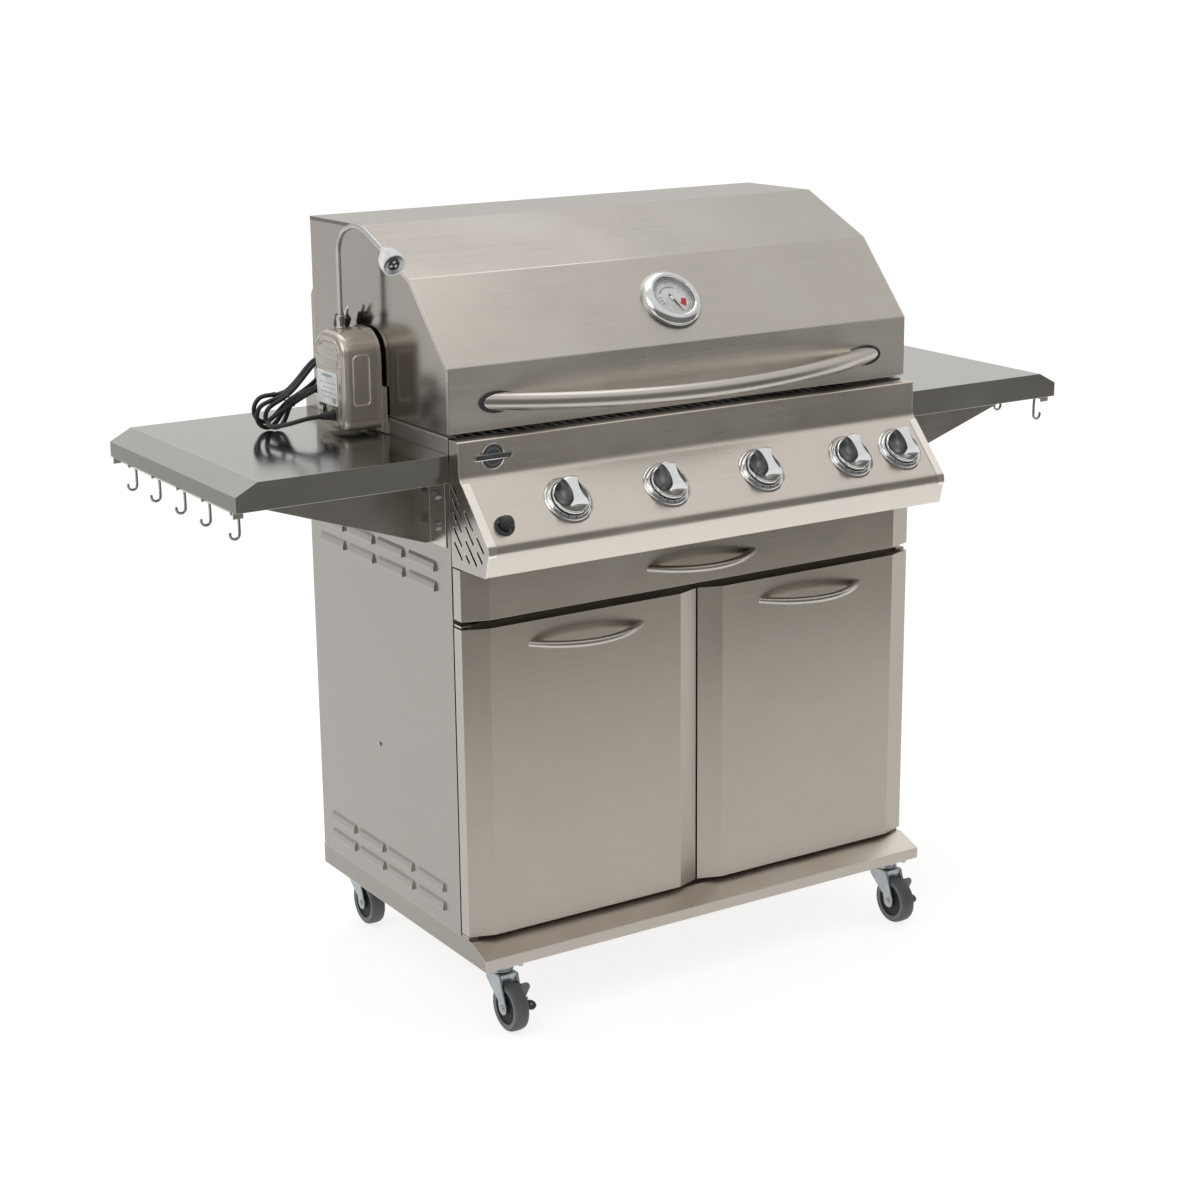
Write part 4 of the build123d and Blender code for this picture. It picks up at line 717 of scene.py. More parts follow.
# wire tie round the bundle
bm = bmesh.new()
tie_pts = []
for i in range(49):
    a = 2 * math.pi * i / 48
    ca, sa = math.cos(a), math.sin(a)
    k = 1.0 / (abs(ca) ** 4 + abs(sa) ** 4) ** 0.25
    p = hank_pt(37.0 + 1.3 * i / 48.0, 12.4 * sa * k, 135.5 + 16.0 * ca * k)
    tie_pts.append(p)
tube(bm, tie_pts, 1.25, 12, cap="round")
e0 = Vector(tie_pts[0])
tube(bm, [e0 + Vector((0, -0.5, 0.8)), e0 + Vector((-2.5, 4.0, 1.0)), e0 + Vector((-3.0, 9.0, 4.0)), e0 + Vector((-6.0, 12.0, 6.5)), e0 + Vector((-11.0, 13.0, 6.0))], 1.1, 10, cap="round")
tube(bm, [e0 + Vector((0.8, -0.5, -1.5)), e0 + Vector((2.0, 4.5, -2.5)), e0 + Vector((-1.0, 9.5, 1.5)), e0 + Vector((3.0, 13.0, 3.0)), e0 + Vector((6.5, 14.5, 7.0))], 1.1, 10, cap="round")
tie = finish_mesh(bm, "bundle_tie", "root", "black", (), 60.0)

# gland where the cord leaves the motor housing: nut, ribbed taper
GL = plane((-485.0, 54.0, 914.8), (0, 1, 0), (-1, 0, 0))
bm = bmesh.new()
hexa = [(8.6 * math.cos(math.radians(60 * i + 30)), 8.6 * math.sin(math.radians(60 * i + 30))) for i in range(6)]
prism(bm, hexa, 0.1, 4.0, GL)
prof = [(0.0, -3.5), (4.9, -3.5), (4.9, 0.5), (7.6, 4.0), (7.4, 5.2)]
for k in range(6):
    z = 5.8 + k * 2.6
    r = 7.1 - 0.36 * k
    prof += [(r, z), (r, z + 1.3), (r - 0.75, z + 1.7), (r - 0.75, z + 2.5)]
prof += [(4.6, 21.6), (4.4, 22.2), (0.0, 22.2)]
lathe(bm, prof, GL, 32)
gland = finish_mesh(bm, "cord_strain_relief", "root", "black", ["cord_gland"], bevel=0.3)

# ---------------------------------------------------------------------------
# Floor, world and lights
# ---------------------------------------------------------------------------
bm = bmesh.new()
bmesh.ops.create_grid(bm, x_segments=2, y_segments=2, size=70.0)
me = bpy.data.meshes.new("studio_floor")
bm.to_mesh(me)
bm.free()
floor = bpy.data.objects.new("studio_floor", me)
scene.collection.objects.link(floor)
fm, nt, bs = new_mat("floor_white")
fn = mapped_noise(nt, (1, 1, 1), 6.0, 3.0)
nt.links.new(ramp(nt, fn, [(0.3, (0.33, 0.33, 0.33)), (0.7, (0.35, 0.35, 0.35))]), bs.inputs["Base Color"])
bs.inputs["Roughness"].default_value = 0.9
bs.inputs["Specular IOR Level"].default_value = 0.0
bs.inputs["Emission Color"].default_value = (1, 1, 1, 1)
bs.inputs["Emission Strength"].default_value = 0.78
me.materials.append(fm)

world = bpy.data.worlds.new("studio")
scene.world = world
world.use_nodes = True
nt = world.node_tree
for n in list(nt.nodes):
    nt.nodes.remove(n)
wo = node(nt, "ShaderNodeOutputWorld")
bg = node(nt, "ShaderNodeBackground")
nt.links.new(bg.outputs[0], wo.inputs[0])
tc = node(nt, "ShaderNodeTexCoord")
sep = node(nt, "ShaderNodeSeparateXYZ")
nt.links.new(tc.outputs["Generated"], sep.inputs[0])
sky = maprange(nt, sep.outputs[2], 0.0, 0.8, 0.74, 0.86, True)
front = maprange(nt, math_node(nt, "MULTIPLY", sep.outputs[1], -1.0), 0.0, 0.85, 1.0, 0.22, True)
lift = maprange(nt, sep.outputs[2], 0.25, 0.70, 0.0, 1.0, True)
mixv = math_node(nt, "ADD", front, math_node(nt, "MULTIPLY", math_node(nt, "SUBTRACT", 1.0, front), lift))
val = math_node(nt, "MULTIPLY", sky, mixv)
nt.links.new(val, bg.inputs["Strength"])
bg.inputs["Color"].default_value = (1.0, 0.995, 0.985, 1)


def area(name, loc, target, sx, sy, power, col=(1, 1, 1)):
    ld = bpy.data.lights.new(name, "AREA")
    ld.shape = "RECTANGLE"
    ld.size = sx
    ld.size_y = sy
    ld.energy = power
    ld.color = col
    lo = bpy.data.objects.new(name, ld)
    scene.collection.objects.link(lo)
    lo.location = loc
    lo.rotation_euler = (Vector(target) - Vector(loc)).to_track_quat("-Z", "Y").to_euler()
    return lo


area("key_left", (-3.4, -1.2, 3.4), (0, 0, 0.7), 2.4, 2.4, 22)
area("top_soft", (0.2, 0.6, 4.0), (0, 0, 0.8), 3.0, 2.0, 22)


def card(name, corners, level):
    # studio flag: seen only in reflections, gives the bright metal its darker side
    bm = bmesh.new()
    bm.faces.new([bm.verts.new(c) for c in corners])
    me = bpy.data.meshes.new(name)
    bm.to_mesh(me)
    bm.free()
    o = bpy.data.objects.new(name, me)
    scene.collection.objects.link(o)
    m, nt, bs = new_mat(name)
    nz = mapped_noise(nt, (1, 1, 1), 1.2, 2.0)
    bs.inputs["Base Color"].default_value = (0, 0, 0, 1)
    bs.inputs["Roughness"].default_value = 1.0
    bs.inputs["Specular IOR Level"].default_value = 0.0
    bs.inputs["Emission Color"].default_value = (1.0, 0.98, 0.95, 1)
    nt.links.new(maprange(nt, nz, 0.3, 0.7, level * 0.85, level * 1.15), bs.inputs["Emission Strength"])
    me.materials.append(m)
    o.visible_camera = False
    o.visible_diffuse = False
    o.visible_shadow = False
    o.visible_transmission = False
    o.visible_volume_scatter = False
    return o


card("flag_front", [(-3.0, -1.75, 0.0), (4.5, -1.75, 0.0), (4.5, -1.75, 1.95), (-3.0, -1.75, 1.95)], 0.19)

# ---------------------------------------------------------------------------
# Control knobs, dials round them, igniter
# ---------------------------------------------------------------------------
SN, SU = (0.0, -0.7305, 0.6830), (0.0, 0.6830, 0.7305)
KNOB_X = [-261.0, -88.0, 88.0, 261.0, 360.0]
KY, KZ = -249.3, None
PANEL = [(-184.0, 909.0), (-206.8, 909.0), (-207.9, 856.2), (-291.3, 767.0), (-280.3, 724.0), (-266.0, 724.0)]
KZ = PANEL[2][1] + (KY - PANEL[2][0]) * (PANEL[3][1] - PANEL[2][1]) / (PANEL[3][0] - PANEL[2][0])


def ellipsoid(bm, c, r, seg=56, rings=36, mi=0):
    vs = []
    for i in range(rings + 1):
        th = math.pi * i / rings
        if i in (0, rings):
            vs.append([bm.verts.new((c[0], c[1] + r[1] * math.cos(th), c[2]))])
        else:
            vs.append([bm.verts.new((c[0] + r[0] * math.sin(th) * math.cos(2 * math.pi * k / seg), c[1] + r[1] * math.cos(th),
                                     c[2] + r[2] * math.sin(th) * math.sin(2 * math.pi * k / seg))) for k in range(seg)])
    for a, b in zip(vs[:-1], vs[1:]):
        for k in range(seg):
            j = (k + 1) % seg
            if len(a) == 1:
                f = bm.faces.new((a[0], b[k], b[j]))
            elif len(b) == 1:
                f = bm.faces.new((a[k], b[0], a[j]))
            else:
                f = bm.faces.new((a[k], b[k], b[j], a[j]))
            f.material_index = mi


def temp_object(bm, mats, name):
    bmesh.ops.recalc_face_normals(bm, faces=bm.faces)
    me = bpy.data.meshes.new(name)
    bm.to_mesh(me)
    bm.free()
    for m in mats:
        me.materials.append(M[m])
    o = bpy.data.objects.new(name, me)
    scene.collection.objects.link(o)
    return o


def boolean(base, cutters, mode="DIFFERENCE"):
    for c in cutters:
        md = base.modifiers.new("cut", "BOOLEAN")
        md.operation = mode
        md.solver = "EXACT"
        md.object = c
    dg = bpy.context.evaluated_depsgraph_get()
    me = bpy.data.meshes.new_from_object(base.evaluated_get(dg))
    for o in [base] + list(cutters):
        bpy.data.objects.remove(o)
    return me


bm = bmesh.new()
lathe(bm, [(0, 2.25), (24.2, 2.25), (25.3, 2.8), (25.6, 3.6), (25.5, 9.2), (24.9, 10.3), (24.0, 10.7), (23.5, 10.8), (23.3, 11.5), (23.9, 12.0),
           (23.7, 13.0), (22.9, 23.8), (22.4, 25.4), (21.2, 26.5), (19.5, 26.95), (10.0, 27.0), (0, 27.0)], None, 96)
kb = temp_object(bm, ["knob", "gunmetal"], "kb")
cuts = []
for s in (-1, 1):
    t = bmesh.new()
    ellipsoid(t, (s * 20.7, 1.2, 28.6), (14.6, 23.6, 19.0), mi=1)
    cuts.append(temp_object(t, ["knob", "gunmetal"], "kc"))
t = bmesh.new()
rbox(t, -30, 30, -40, -16.5, 19.0, 60.0, 0.2, 1, Matrix.Translation((0, -16.5, 24)) @ Matrix.Rotation(math.radians(-38), 4, "X") @ Matrix.Translation((0, 16.5, -24)))
cuts.append(temp_object(t, ["knob", "gunmetal"], "kd"))
knob_me = boolean(kb, cuts)

for i, kx in enumerate(KNOB_X):
    F = plane((kx, KY, KZ), (1, 0, 0), SN)
    t = bmesh.new()
    t.from_mesh(knob_me)
    bm = bmesh.new()
    merge(bm, t, F @ Matrix.Diagonal((1.14, 1.14, 1.10, 1.0)))
    o = finish_mesh(bm, "knob_cap_%d" % (i + 1), "knob_%d" % (i + 1), ["knob", "gunmetal"], ["knob_%d" % (i + 1)], 28.0, recalc=True)

bm = bmesh.new()
for i, kx in enumerate(KNOB_X):
    F = plane((kx, KY, KZ), (1, 0, 0), SN)
    lathe(bm, [(30.0, 0.6), (38.2, 0.05), (38.9, 0.4), (38.7, 1.6), (37.6, 2.6), (36.9, 2.9), (36.4, 3.1), (35.9, 3.9), (34.6, 5.2), (32.6, 6.6), (32.1, 6.9), (31.6, 7.0),
               (31.0, 6.9), (30.5, 6.5), (30.1, 5.9), (30.0, 5.0)], F, 96)
    # marks: dots and rising bars, no lettering
    for a, w, h in ((150, 1.4, 1.4), (175, 0.9, 3.0), (200, 1.2, 3.0), (222, 1.5, 3.0), (243, 1.8, 3.0), (264, 2.1, 3.0), (290, 1.4, 1.4), (30, 1.4, 1.4)):
        th = math.radians(a)
        rc, zc = 33.0, 6.28
        sl = math.atan2(2.0, 3.0)
        R = F @ Matrix.Rotation(th - math.pi / 2, 4, "Z") @ Matrix.Translation((0, rc, zc)) @ Matrix.Rotation(-sl, 4, "X")
        rbox(bm, -w / 2, w / 2, -h / 2, h / 2, -0.3, 0.12, 0.1, 1, R, 1)
IG = plane((-380.0, -266.9, PANEL[2][1] + (-266.9 - PANEL[2][0]) * (PANEL[3][1] - PANEL[2][1]) / (PANEL[3][0] - PANEL[2][0])), (1, 0, 0), SN)
lathe(bm, [(9.4, 0.3), (12.2, 0.1), (12.45, 0.8), (12.1, 3.6), (11.4, 4.7), (10.4, 5.0), (9.6, 4.6), (9.4, 3.6)], IG @ Matrix.Diagonal((1.25, 1.25, 1.0, 1.0)), 48, 2)
finish_mesh(bm, "control_rings", "root", ["chrome", "mark", "black"], ["control_bezels"], 30.0)

bm = bmesh.new()
n = 30
prof_z = [(-6.0, 8.6, 0), (3.6, 8.6, 0), (4.2, 8.8, 1), (11.4, 8.6, 1), (12.2, 8.0, 1), (12.4, 6.9, 0), (12.6, 6.0, 0), (15.6, 5.9, 0), (16.4, 5.6, 0), (16.9, 4.8, 0)]
rings = []
for z, r, k in prof_z:
    ring = []
    for i in range(n * 4):
        a = 2 * math.pi * i / (n * 4)
        rr = r + (0.45 if k and (i % 4) in (1, 2) else -0.40 if k else 0)
        ring.append(bm.verts.new(IG @ Vector((1.2 * rr * math.cos(a), 1.2 * rr * math.sin(a), z * 1.2))))
    rings.append(ring)
for a, b in zip(rings[:-1], rings[1:]):
    for i in range(n * 4):
        j = (i + 1) % (n * 4)
        bm.faces.new((a[i], a[j], b[j], b[i]))
bm.faces.new(rings[0])
c = bm.verts.new(IG @ Vector((0, 0, 20.7)))
for i in range(n * 4):
    bm.faces.new((rings[-1][i], rings[-1][(i + 1) % (n * 4)], c))
finish_mesh(bm, "igniter_cap", "igniter", "black", ["igniter_button"], 30.0)

# ---------------------------------------------------------------------------
# Thermometer in the lid
# ---------------------------------------------------------------------------
LID = [(-170.0, 916.0), (-182.6, 915.0), (-182.3, 1010.7), (-74.5, 1127.8), (73.7, 1192.0), (248.4, 1190.2), (248.4, 1166.0)]
_ly, _lz = LID[3][0] - LID[2][0], LID[3][1] - LID[2][1]
_ln = math.hypot(_ly, _lz)
LN = (0.0, -_lz / _ln, _ly / _ln)
TY = -130.4
TZ = LID[2][1] + (TY - LID[2][0]) * _lz / _ly
TF = plane((0.0, TY, TZ), (1, 0, 0), LN)
bm = bmesh.new()
lathe(bm, [(34.05, 4.0), (26.0, 3.6), (26.0, 0.3), (49.6, 0.1), (50.8, 0.4), (51.0, 1.4), (50.9, 3.2), (50.2, 5.8), (48.8, 8.6), (46.6, 11.2), (43.8, 13.2), (40.6, 14.4), (38.2, 14.8), (36.6, 14.7),
           (35.2, 14.0), (34.3, 12.6), (34.05, 11.0)], TF, 128)
finish_mesh(bm, "thermometer_ring", "lid", "chrome", ["thermometer_case"], 30.0)
TD = TF @ Matrix.Diagonal((0.79, 0.79, 1.0, 1.0))
bm = bmesh.new()
lathe(bm, [(0, 3.9), (42.8, 4.0), (42.8, 5.0), (42.0, 5.4), (37.5, 5.5), (36.9, 5.25), (36.3, 5.5), (0, 5.5)], TD, 96)


def dial_mark(a, r0, r1, w, mi=1, z=5.5, h=0.22):
    R = TD @ Matrix.Rotation(math.radians(a), 4, "Z")
    rbox(bm, r0, r1, -w / 2, w / 2, z - 0.1, z + h, 0.08, 1, R, mi)


for k in range(55):
    a = 240 - k * 300 / 54.0
    dial_mark(a, 33.0 if k % 9 == 0 else 34.6, 36.6, 0.9 if k % 9 == 0 else 0.45)
ring = []
for a0, a1, r0, r1, mi in ((240, -60, 38.4, 39.2, 1), (150, 60, 24.0, 27.0, 3), (-6, -44, 19.0, 30.5, 2)):
    k = 40
    outl = [(r1 * math.cos(math.radians(a0 + (a1 - a0) * i / k)), r1 * math.sin(math.radians(a0 + (a1 - a0) * i / k))) for i in range(k + 1)]
    outl += [(r0 * math.cos(math.radians(a1 + (a0 - a1) * i / k)), r0 * math.sin(math.radians(a1 + (a0 - a1) * i / k))) for i in range(k + 1)]
    prism(bm, outl, 5.4, 5.68, TD, mi)
for a in (205, 190, 172):
    dial_mark(a, 22.0, 29.0, 3.0, 3)
finish_mesh(bm, "thermometer_face", "lid", ["dial", "mark", "red", "label_grey"], ["thermometer_dial"], 30.0)

bm = bmesh.new()
NR = TD @ Matrix.Rotation(math.radians(-68), 4, "Z")
outl = [(-9.0, -1.3), (-8.2, -2.0), (-4.0, -1.6), (0, -2.2), (10.0, -1.35), (31.0, -0.45), (33.8, 0.0), (31.0, 0.45), (10.0, 1.35), (0, 2.2), (-4.0, 1.6), (-8.2, 2.0), (-9.0, 1.3)]
prism(bm, outl, 6.5, 7.3, NR, 0)
lathe(bm, [(0, 5.9), (3.9, 5.9), (3.95, 7.4), (3.3, 8.1), (1.6, 8.5), (0, 8.6)], TF, 32, 1)
finish_mesh(bm, "thermometer_pointer", "needle", ["mark", "chrome"], ["thermometer_needle"], 30.0, bevel=0.12)

bm = bmesh.new()
lathe(bm, [(0, 11.2), (42.6, 11.1), (42.85, 11.6), (42.6, 12.3), (30.0, 13.0), (15.0, 13.35), (0, 13.5)], TD, 96)
finish_mesh(bm, "thermometer_glass", "lid", "glass", ["thermometer_lens"], 40.0)

# ---------------------------------------------------------------------------
# Handles
# ---------------------------------------------------------------------------
bm = bmesh.new()
hp = arc3((-345, -178, 956.5), (0, -252, 949), (345, -178, 956.5), 240)
hp = [p for p in hp if p.y < -189.5]
tube(bm, hp, 13.5, 64, planes=[((0, 1, 0), -186.0), ((0, 1, 0), -186.0)])
finish_mesh(bm, "lid_bar", "lid", "handle", ["lid_handle"], 40.0, bevel=0.6)
bm = bmesh.new()
for s in (-1, 1):
    G = plane((s * 340, -182.8, 956), (1, 0, 0), (0, -1, 0))
    rings = []
    for k, z in ((1.0, 0.05), (1.0, 1.3), (0.975, 2.4), (0.93, 3.0), (0.86, 3.1)):
        a = 29.5 - (1 - k) * 22
        b = 16.2 - (1 - k) * 22
        rings.append([bm.verts.new(G @ Vector((x, y, z))) for x, y in ellipse(0, 0, a, b, 72)])
    for a, b in zip(rings[:-1], rings[1:]):
        for i in range(72):
            bm.faces.new((a[i], a[(i + 1) % 72], b[(i + 1) % 72], b[i]))
    bm.faces.new(rings[0])
    bm.faces.new(rings[-1])
finish_mesh(bm, "lid_bar_gaskets", "lid", "rubber", ["lid_handle_seats"], 40.0)


def bow(name, body, nodename, x0, x1, z0, z1):
    bm = bmesh.new()
    yf = -216.1
    pts = arc3((x0, yf + 3, z0), ((x0 + x1) / 2, yf - 36, z1), (x1, yf + 3, z0), 160)
    pts = [p for p in pts if p.y < yf - 1.6]
    tube(bm, pts, 6.0, 40, planes=[((0, 1, 0), yf), ((0, 1, 0), yf)])
    for s, p in ((-1, pts[0]), (1, pts[-1])):
        t = (pts[1] - pts[0]).normalized() if s < 0 else (pts[-1] - pts[-2]).normalized()
    return finish_mesh(bm, name, body, "handle", [nodename], 40.0, bevel=0.5)


bow("door_pull_left", "left_door", "door_left_handle", -307.3, -112.6, 593.0, 590.5)
bow("door_pull_right", "right_door", "door_right_handle", 115.6, 307.3, 593.0, 590.5)
bow("drawer_pull", "drawer", "drawer_handle", -96.0, 98.0, 676.5, 674.0)

# ---------------------------------------------------------------------------
# Spit motor: drawn housing with raised ribs, switch, blank rating plate
# ---------------------------------------------------------------------------
bm = bmesh.new()
rads = [20, 20, 38, 38]
rings = []


def ring_at(x, inset):
    return [bm.verts.new((x, y, z)) for y, z in rrect(18.0, 118.0, 891.0, 1040.0, rads, 14, inset)]


rings.append(ring_at(-425.1, 2.2))
rings.append(ring_at(-425.1, 0.0))
rings.append(ring_at(-428.0, 0.0))
rings.append(ring_at(-428.5, 0.9))
rings.append(ring_at(-430.0, 0.9))
rings.append(ring_at(-430.6, 0.0))
for k in range(0, 9):
    a = math.radians(90 * k / 8)
    rings.append(ring_at(-474.0 - 11.0 * math.sin(a), 11.0 * (1 - math.cos(a))))
# a shallow pressed step around the end face
rings.append(ring_at(-485.0, 15.0))
rings.append(ring_at(-484.1, 16.2))
rings.append(ring_at(-484.1, 18.5))
rings.append(ring_at(-485.0, 19.7))
for a, b in zip(rings[:-1], rings[1:]):
    for i in range(len(a)):
        j = (i + 1) % len(a)
        bm.faces.new((a[i], a[j], b[j], b[i]))
bm.faces.new(rings[0])
bm.faces.new(rings[-1])
# stepped ribs that follow the rounded top of the end face, and two straight ones under them
for inset, r in ((10.5, 1.4), (17.5, 1.4)):
    loop = rrect(18.0, 118.0, 891.0, 1040.0, rads, 14, inset)
    pts = [(-484.7, y, z) for y, z in loop if z > 984.0]
    pts.sort(key=lambda p: math.atan2(p[2] - 984.0, p[1] - 68.0))
    tube(bm, pts, r, 12, cap="round")
tube(bm, [(-484.6, 26.5, z) for z in (905.0, 950.0, 990.0)], 1.5, 12, cap="round")
for z0, z1 in ((1003.5, 1016.5), (984.5, 999.5)):
    rbox(bm, -486.3, -484.2, 38.0, 99.0, z0, z1, 1.7, 4)
# raised rectangle on the front side
tube(bm, [(-465.0, 18.4, 935.0), (-465.0, 18.4, 1001.0), (-464.0, 18.4, 1003.0), (-444.0, 18.4, 1003.0), (-443.0, 18.4, 1001.0), (-443.0, 18.4, 936.0), (-444.0, 18.4, 934.0), (-464.0, 18.4, 934.0), (-465.0, 18.4, 935.0)], 0.6, 10, cap="round")
RC = rrect(-467.5, -440.5, 931.0, 1006.0, [7.0] * 4, 8)
RC = [Vector((x, 18.3, z)) for x, z in RC]
tube(bm, RC + RC[:1], 1.9, 12, cap="round")
for y, z in ((31, 905), (105, 905), (31, 1012), (105, 1012)):
    S = plane((-485.2, y, z), (0, 1, 0), (-1, 0, 0))
    if y > 100 and z > 1000 or y < 40 and z > 1000:
        continue
    lathe(bm, [(0, -0.6), (3.4, -0.6), (3.4, 0.6), (2.6, 1.4), (1.2, 1.7), (0, 1.75)], S, 24, 1)
finish_mesh(bm, "motor_case", "root", ["motor", "zinc"], ["motor_housing"], 32.0)

bm = bmesh.new()
prism(bm, rrect(39.7, 106.0, 929.0, 979.0, [2.5] * 4, 4), -485.55, -484.6, Matrix(((0, 0, 1, 0), (1, 0, 0, 0), (0, 1, 0, 0), (0, 0, 0, 1))), 0)
SW = Matrix(((0, 0, 1, 0), (1, 0, 0, 0), (0, 1, 0, 0), (0, 0, 0, 1)))
prism(bm, rrect(56.0, 90.0, 970.5, 974.5, [0.6] * 4, 2), -485.75, -485.3, SW, 1)
for k in range(4):
    z = 961.5 - k * 7.2
    prism(bm, rrect(43.0, 96.0 - 9.0 * (k % 2), z - 0.55, z + 0.55, [0.3] * 4, 1), -485.72, -485.3, SW, 1)
prism(bm, rrect(44.0, 56.0, 932.0, 940.0, [0.8] * 4, 2), -485.72, -485.3, SW, 1)
finish_mesh(bm, "motor_plate", "root", ["label", "label_grey", "mark"], (), 40.0, bevel=0.1)

bm = bmesh.new()
rbox(bm, -486.6, -484.4, 81.0, 101.0, 906.5, 927.5, 0.9, 3, None, 0)
for k in range(3):
    rbox(bm, -489.4, -486.0, 83.4 + k * 5.4, 87.0 + k * 5.4, 909.0, 925.0, 1.2, 3, None, 1)
finish_mesh(bm, "motor_switch", "root", ["black", "chrome"], (), 40.0)

# ---------------------------------------------------------------------------
# Gooseneck and lamp
# ---------------------------------------------------------------------------
NK = [(-455.0, 80.0, 1040.5), (-455.0, 80.0, 1181.0), (-455.0, 12.0, 1203.5), (-455.0, -64.0, 1172.0)]
path = resample(fillet_line(NK, [42.0, 80.0], 3.0), 0.55)
rad, acc = [], 0.0
for i, p in enumerate(path):
    if i:
        acc += (path[i] - path[i - 1]).length
    w = 0.5 - 0.5 * math.cos(2 * math.pi * acc / 3.3)
    depth = 0.75 if acc < 150 else 0.34
    rad.append(4.15 - depth * (1 - w))
bm = bmesh.new()
tube(bm, path, rad, 20)
lathe(bm, [(0, 1039.9), (7.4, 1039.9), (7.6, 1040.6), (7.4, 1042.4), (6.2, 1043.2), (6.2, 1057.6), (5.8, 1059.4), (4.9, 1060.2), (4.0, 1060.4), (0, 1060.4)],
      Matrix.Translation((-455, 80, 0)), 40)
finish_mesh(bm, "lamp_neck", "root", "neck", ["gooseneck"], 50.0)
LH = plane((-455.0, -64.0, 1172.0), (1, 0, 0), (-0.05, -0.900, -0.43))
bm = bmesh.new()
prof = [(0, -0.6), (4.6, -0.6), (5.2, 0.2), (5.2, 4.6), (4.8, 5.0), (4.8, 5.6), (5.6, 6.0), (6.2, 6.6)]
for k in range(11):
    f = k / 10.0
    prof.append((6.8 + 10.6 * math.sin(f * math.pi / 2) ** 0.95, 7.4 + 23.0 * f))
prof += [(17.7, 31.6), (17.5, 32.0), (17.5, 32.6), (18.0, 33.1), (18.0, 40.6), (17.7, 42.4), (17.0, 43.0), (16.3, 42.8), (15.8, 41.8), (15.6, 39.6), (0, 39.6)]
lathe(bm, prof, LH, 72, 0)
lathe(bm, [(0, 39.3), (15.5, 39.3), (15.5, 41.2), (10.2, 39.9), (9.9, 41.2), (9.2, 41.5), (8.6, 41.0), (8.4, 39.9), (0, 39.9)], LH, 64, 1)
lathe(bm, [(0, 39.6), (8.3, 39.6), (8.3, 40.3), (0, 40.3)], LH, 48, 3)
for k in range(3):
    a = math.radians(90 + 120 * k)
    L2 = LH @ Matrix.Translation((4.3 * math.cos(a), 4.3 * math.sin(a), 40.7))
    lathe(bm, [(0, -0.3), (2.5, -0.3), (2.5, 0.4), (1.9, 1.2), (1.0, 1.7), (0, 1.8)], L2, 24, 2)
finish_mesh(bm, "lamp_shade", "root", ["silver", "reflector", "chrome", "dark"], ["lamp_head"], 35.0)

# ---------------------------------------------------------------------------
# Casters: wheels with moulded tread, hub and axle bolts
# ---------------------------------------------------------------------------
CAST = {"front_left": (-375.0, -222.0), "front_right": (375.0, -222.0), "rear_left": (-365.0, 265.0), "rear_right": (365.0, 265.0)}
for nm, (cx, cy) in CAST.items():
    W = plane((cx, cy - 27.0, 38.0), (0, 1, 0), (1, 0, 0))
    bm = bmesh.new()
    lathe(bm, [(27.6, 11.1), (29.0, 11.8), (33.0, 12.0), (34.6, 11.6), (36.4, 10.4), (37.5, 8.0), (37.9, 4.0), (38.0, 0.0), (37.9, -4.0), (37.5, -8.0), (36.4, -10.4), (34.6, -11.6),
               (33.0, -12.0), (29.0, -11.8), (27.6, -11.1)], W, 96, 0)
    lathe(bm, [(4.1, 11.6), (8.8, 11.6), (9.4, 11.0), (9.8, 8.6), (23.0, 8.4), (25.4, 9.0), (26.2, 11.0), (27.7, 11.2), (27.7, -11.2), (26.2, -11.0), (25.4, -9.0), (23.0, -8.4),
               (9.8, -8.6), (9.4, -11.0), (8.8, -11.6), (4.1, -11.6)], W, 96, 1)
    for s in (-1, 1):
        z = s * 11.95
        lathe(bm, [(30.6, z - 0.3), (31.6, z - 0.3), (31.6, z + 0.22), (30.6, z + 0.22)], W, 96, 2)
        lathe(bm, [(26.3, s * 11.0), (27.9, s * 11.5), (30.2, s * 12.05), (33.0, s * 12.12), (33.3, s * 11.6), (30.0, s * 11.4), (27.0, s * 10.6)], W, 96, 2)
    finish_mesh(bm, "wheel_tyre_" + nm, "roller_" + nm, ["tyre", "dark", "wall"], ["wheel_" + nm], 32.0)

    # pressed fork: wide tapering legs with rolled front edges, crown, domed axle ends
    leg = [(21, 88.8), (-20, 88.8), (-37.2, 44)]
    for k in range(9):
        a = math.radians(190 + 20 * k)
        leg.append((-27 + 10.6 * math.cos(a), 38 + 10.6 * math.sin(a)))
    leg += [(-14, 47), (4, 60), (21, 74)]
    bm = bmesh.new()
    TY_ = Matrix(((0, 0, 1, cx), (1, 0, 0, cy), (0, 1, 0, 0), (0, 0, 0, 1)))
    for s in (-1, 1):
        x0, x1 = sorted((s * 13.0, s * 15.5))
        prism(bm, leg, x0, x1, TY_)
        # rolled edge along the front of the leg
        tube(bm, [(cx + s * 15.0, cy - 20.4, 86.5), (cx + s * 15.0, cy - 29.4, 62.0), (cx + s * 15.0, cy - 36.6, 43.5)], 2.3, 14, cap="round")
        A = plane((cx + s * 15.5, cy - 27.0, 38.0), (0, 1, 0), (s, 0, 0))
        lathe(bm, [(0, -0.8), (6.4, -0.8), (6.4, 0.5), (5.9, 0.9), (4.3, 1.0), (4.2, 2.2), (3.4, 3.1), (1.6, 3.6), (0, 3.65)], A, 32)
    rbox(bm, cx - 15.5, cx + 15.5, cy - 20.0, cy + 21.0, 86.0, 88.9, 0.9, 2)
    rbox(bm, cx - 15.5, cx + 15.5, cy - 21.6, cy - 19.0, 77.0, 88.9, 1.1, 3)
    finish_mesh(bm, "fork_pressing_" + nm, "caster_" + nm, "zinc", ["fork_" + nm], 32.0, bevel=0.5, seg=3)

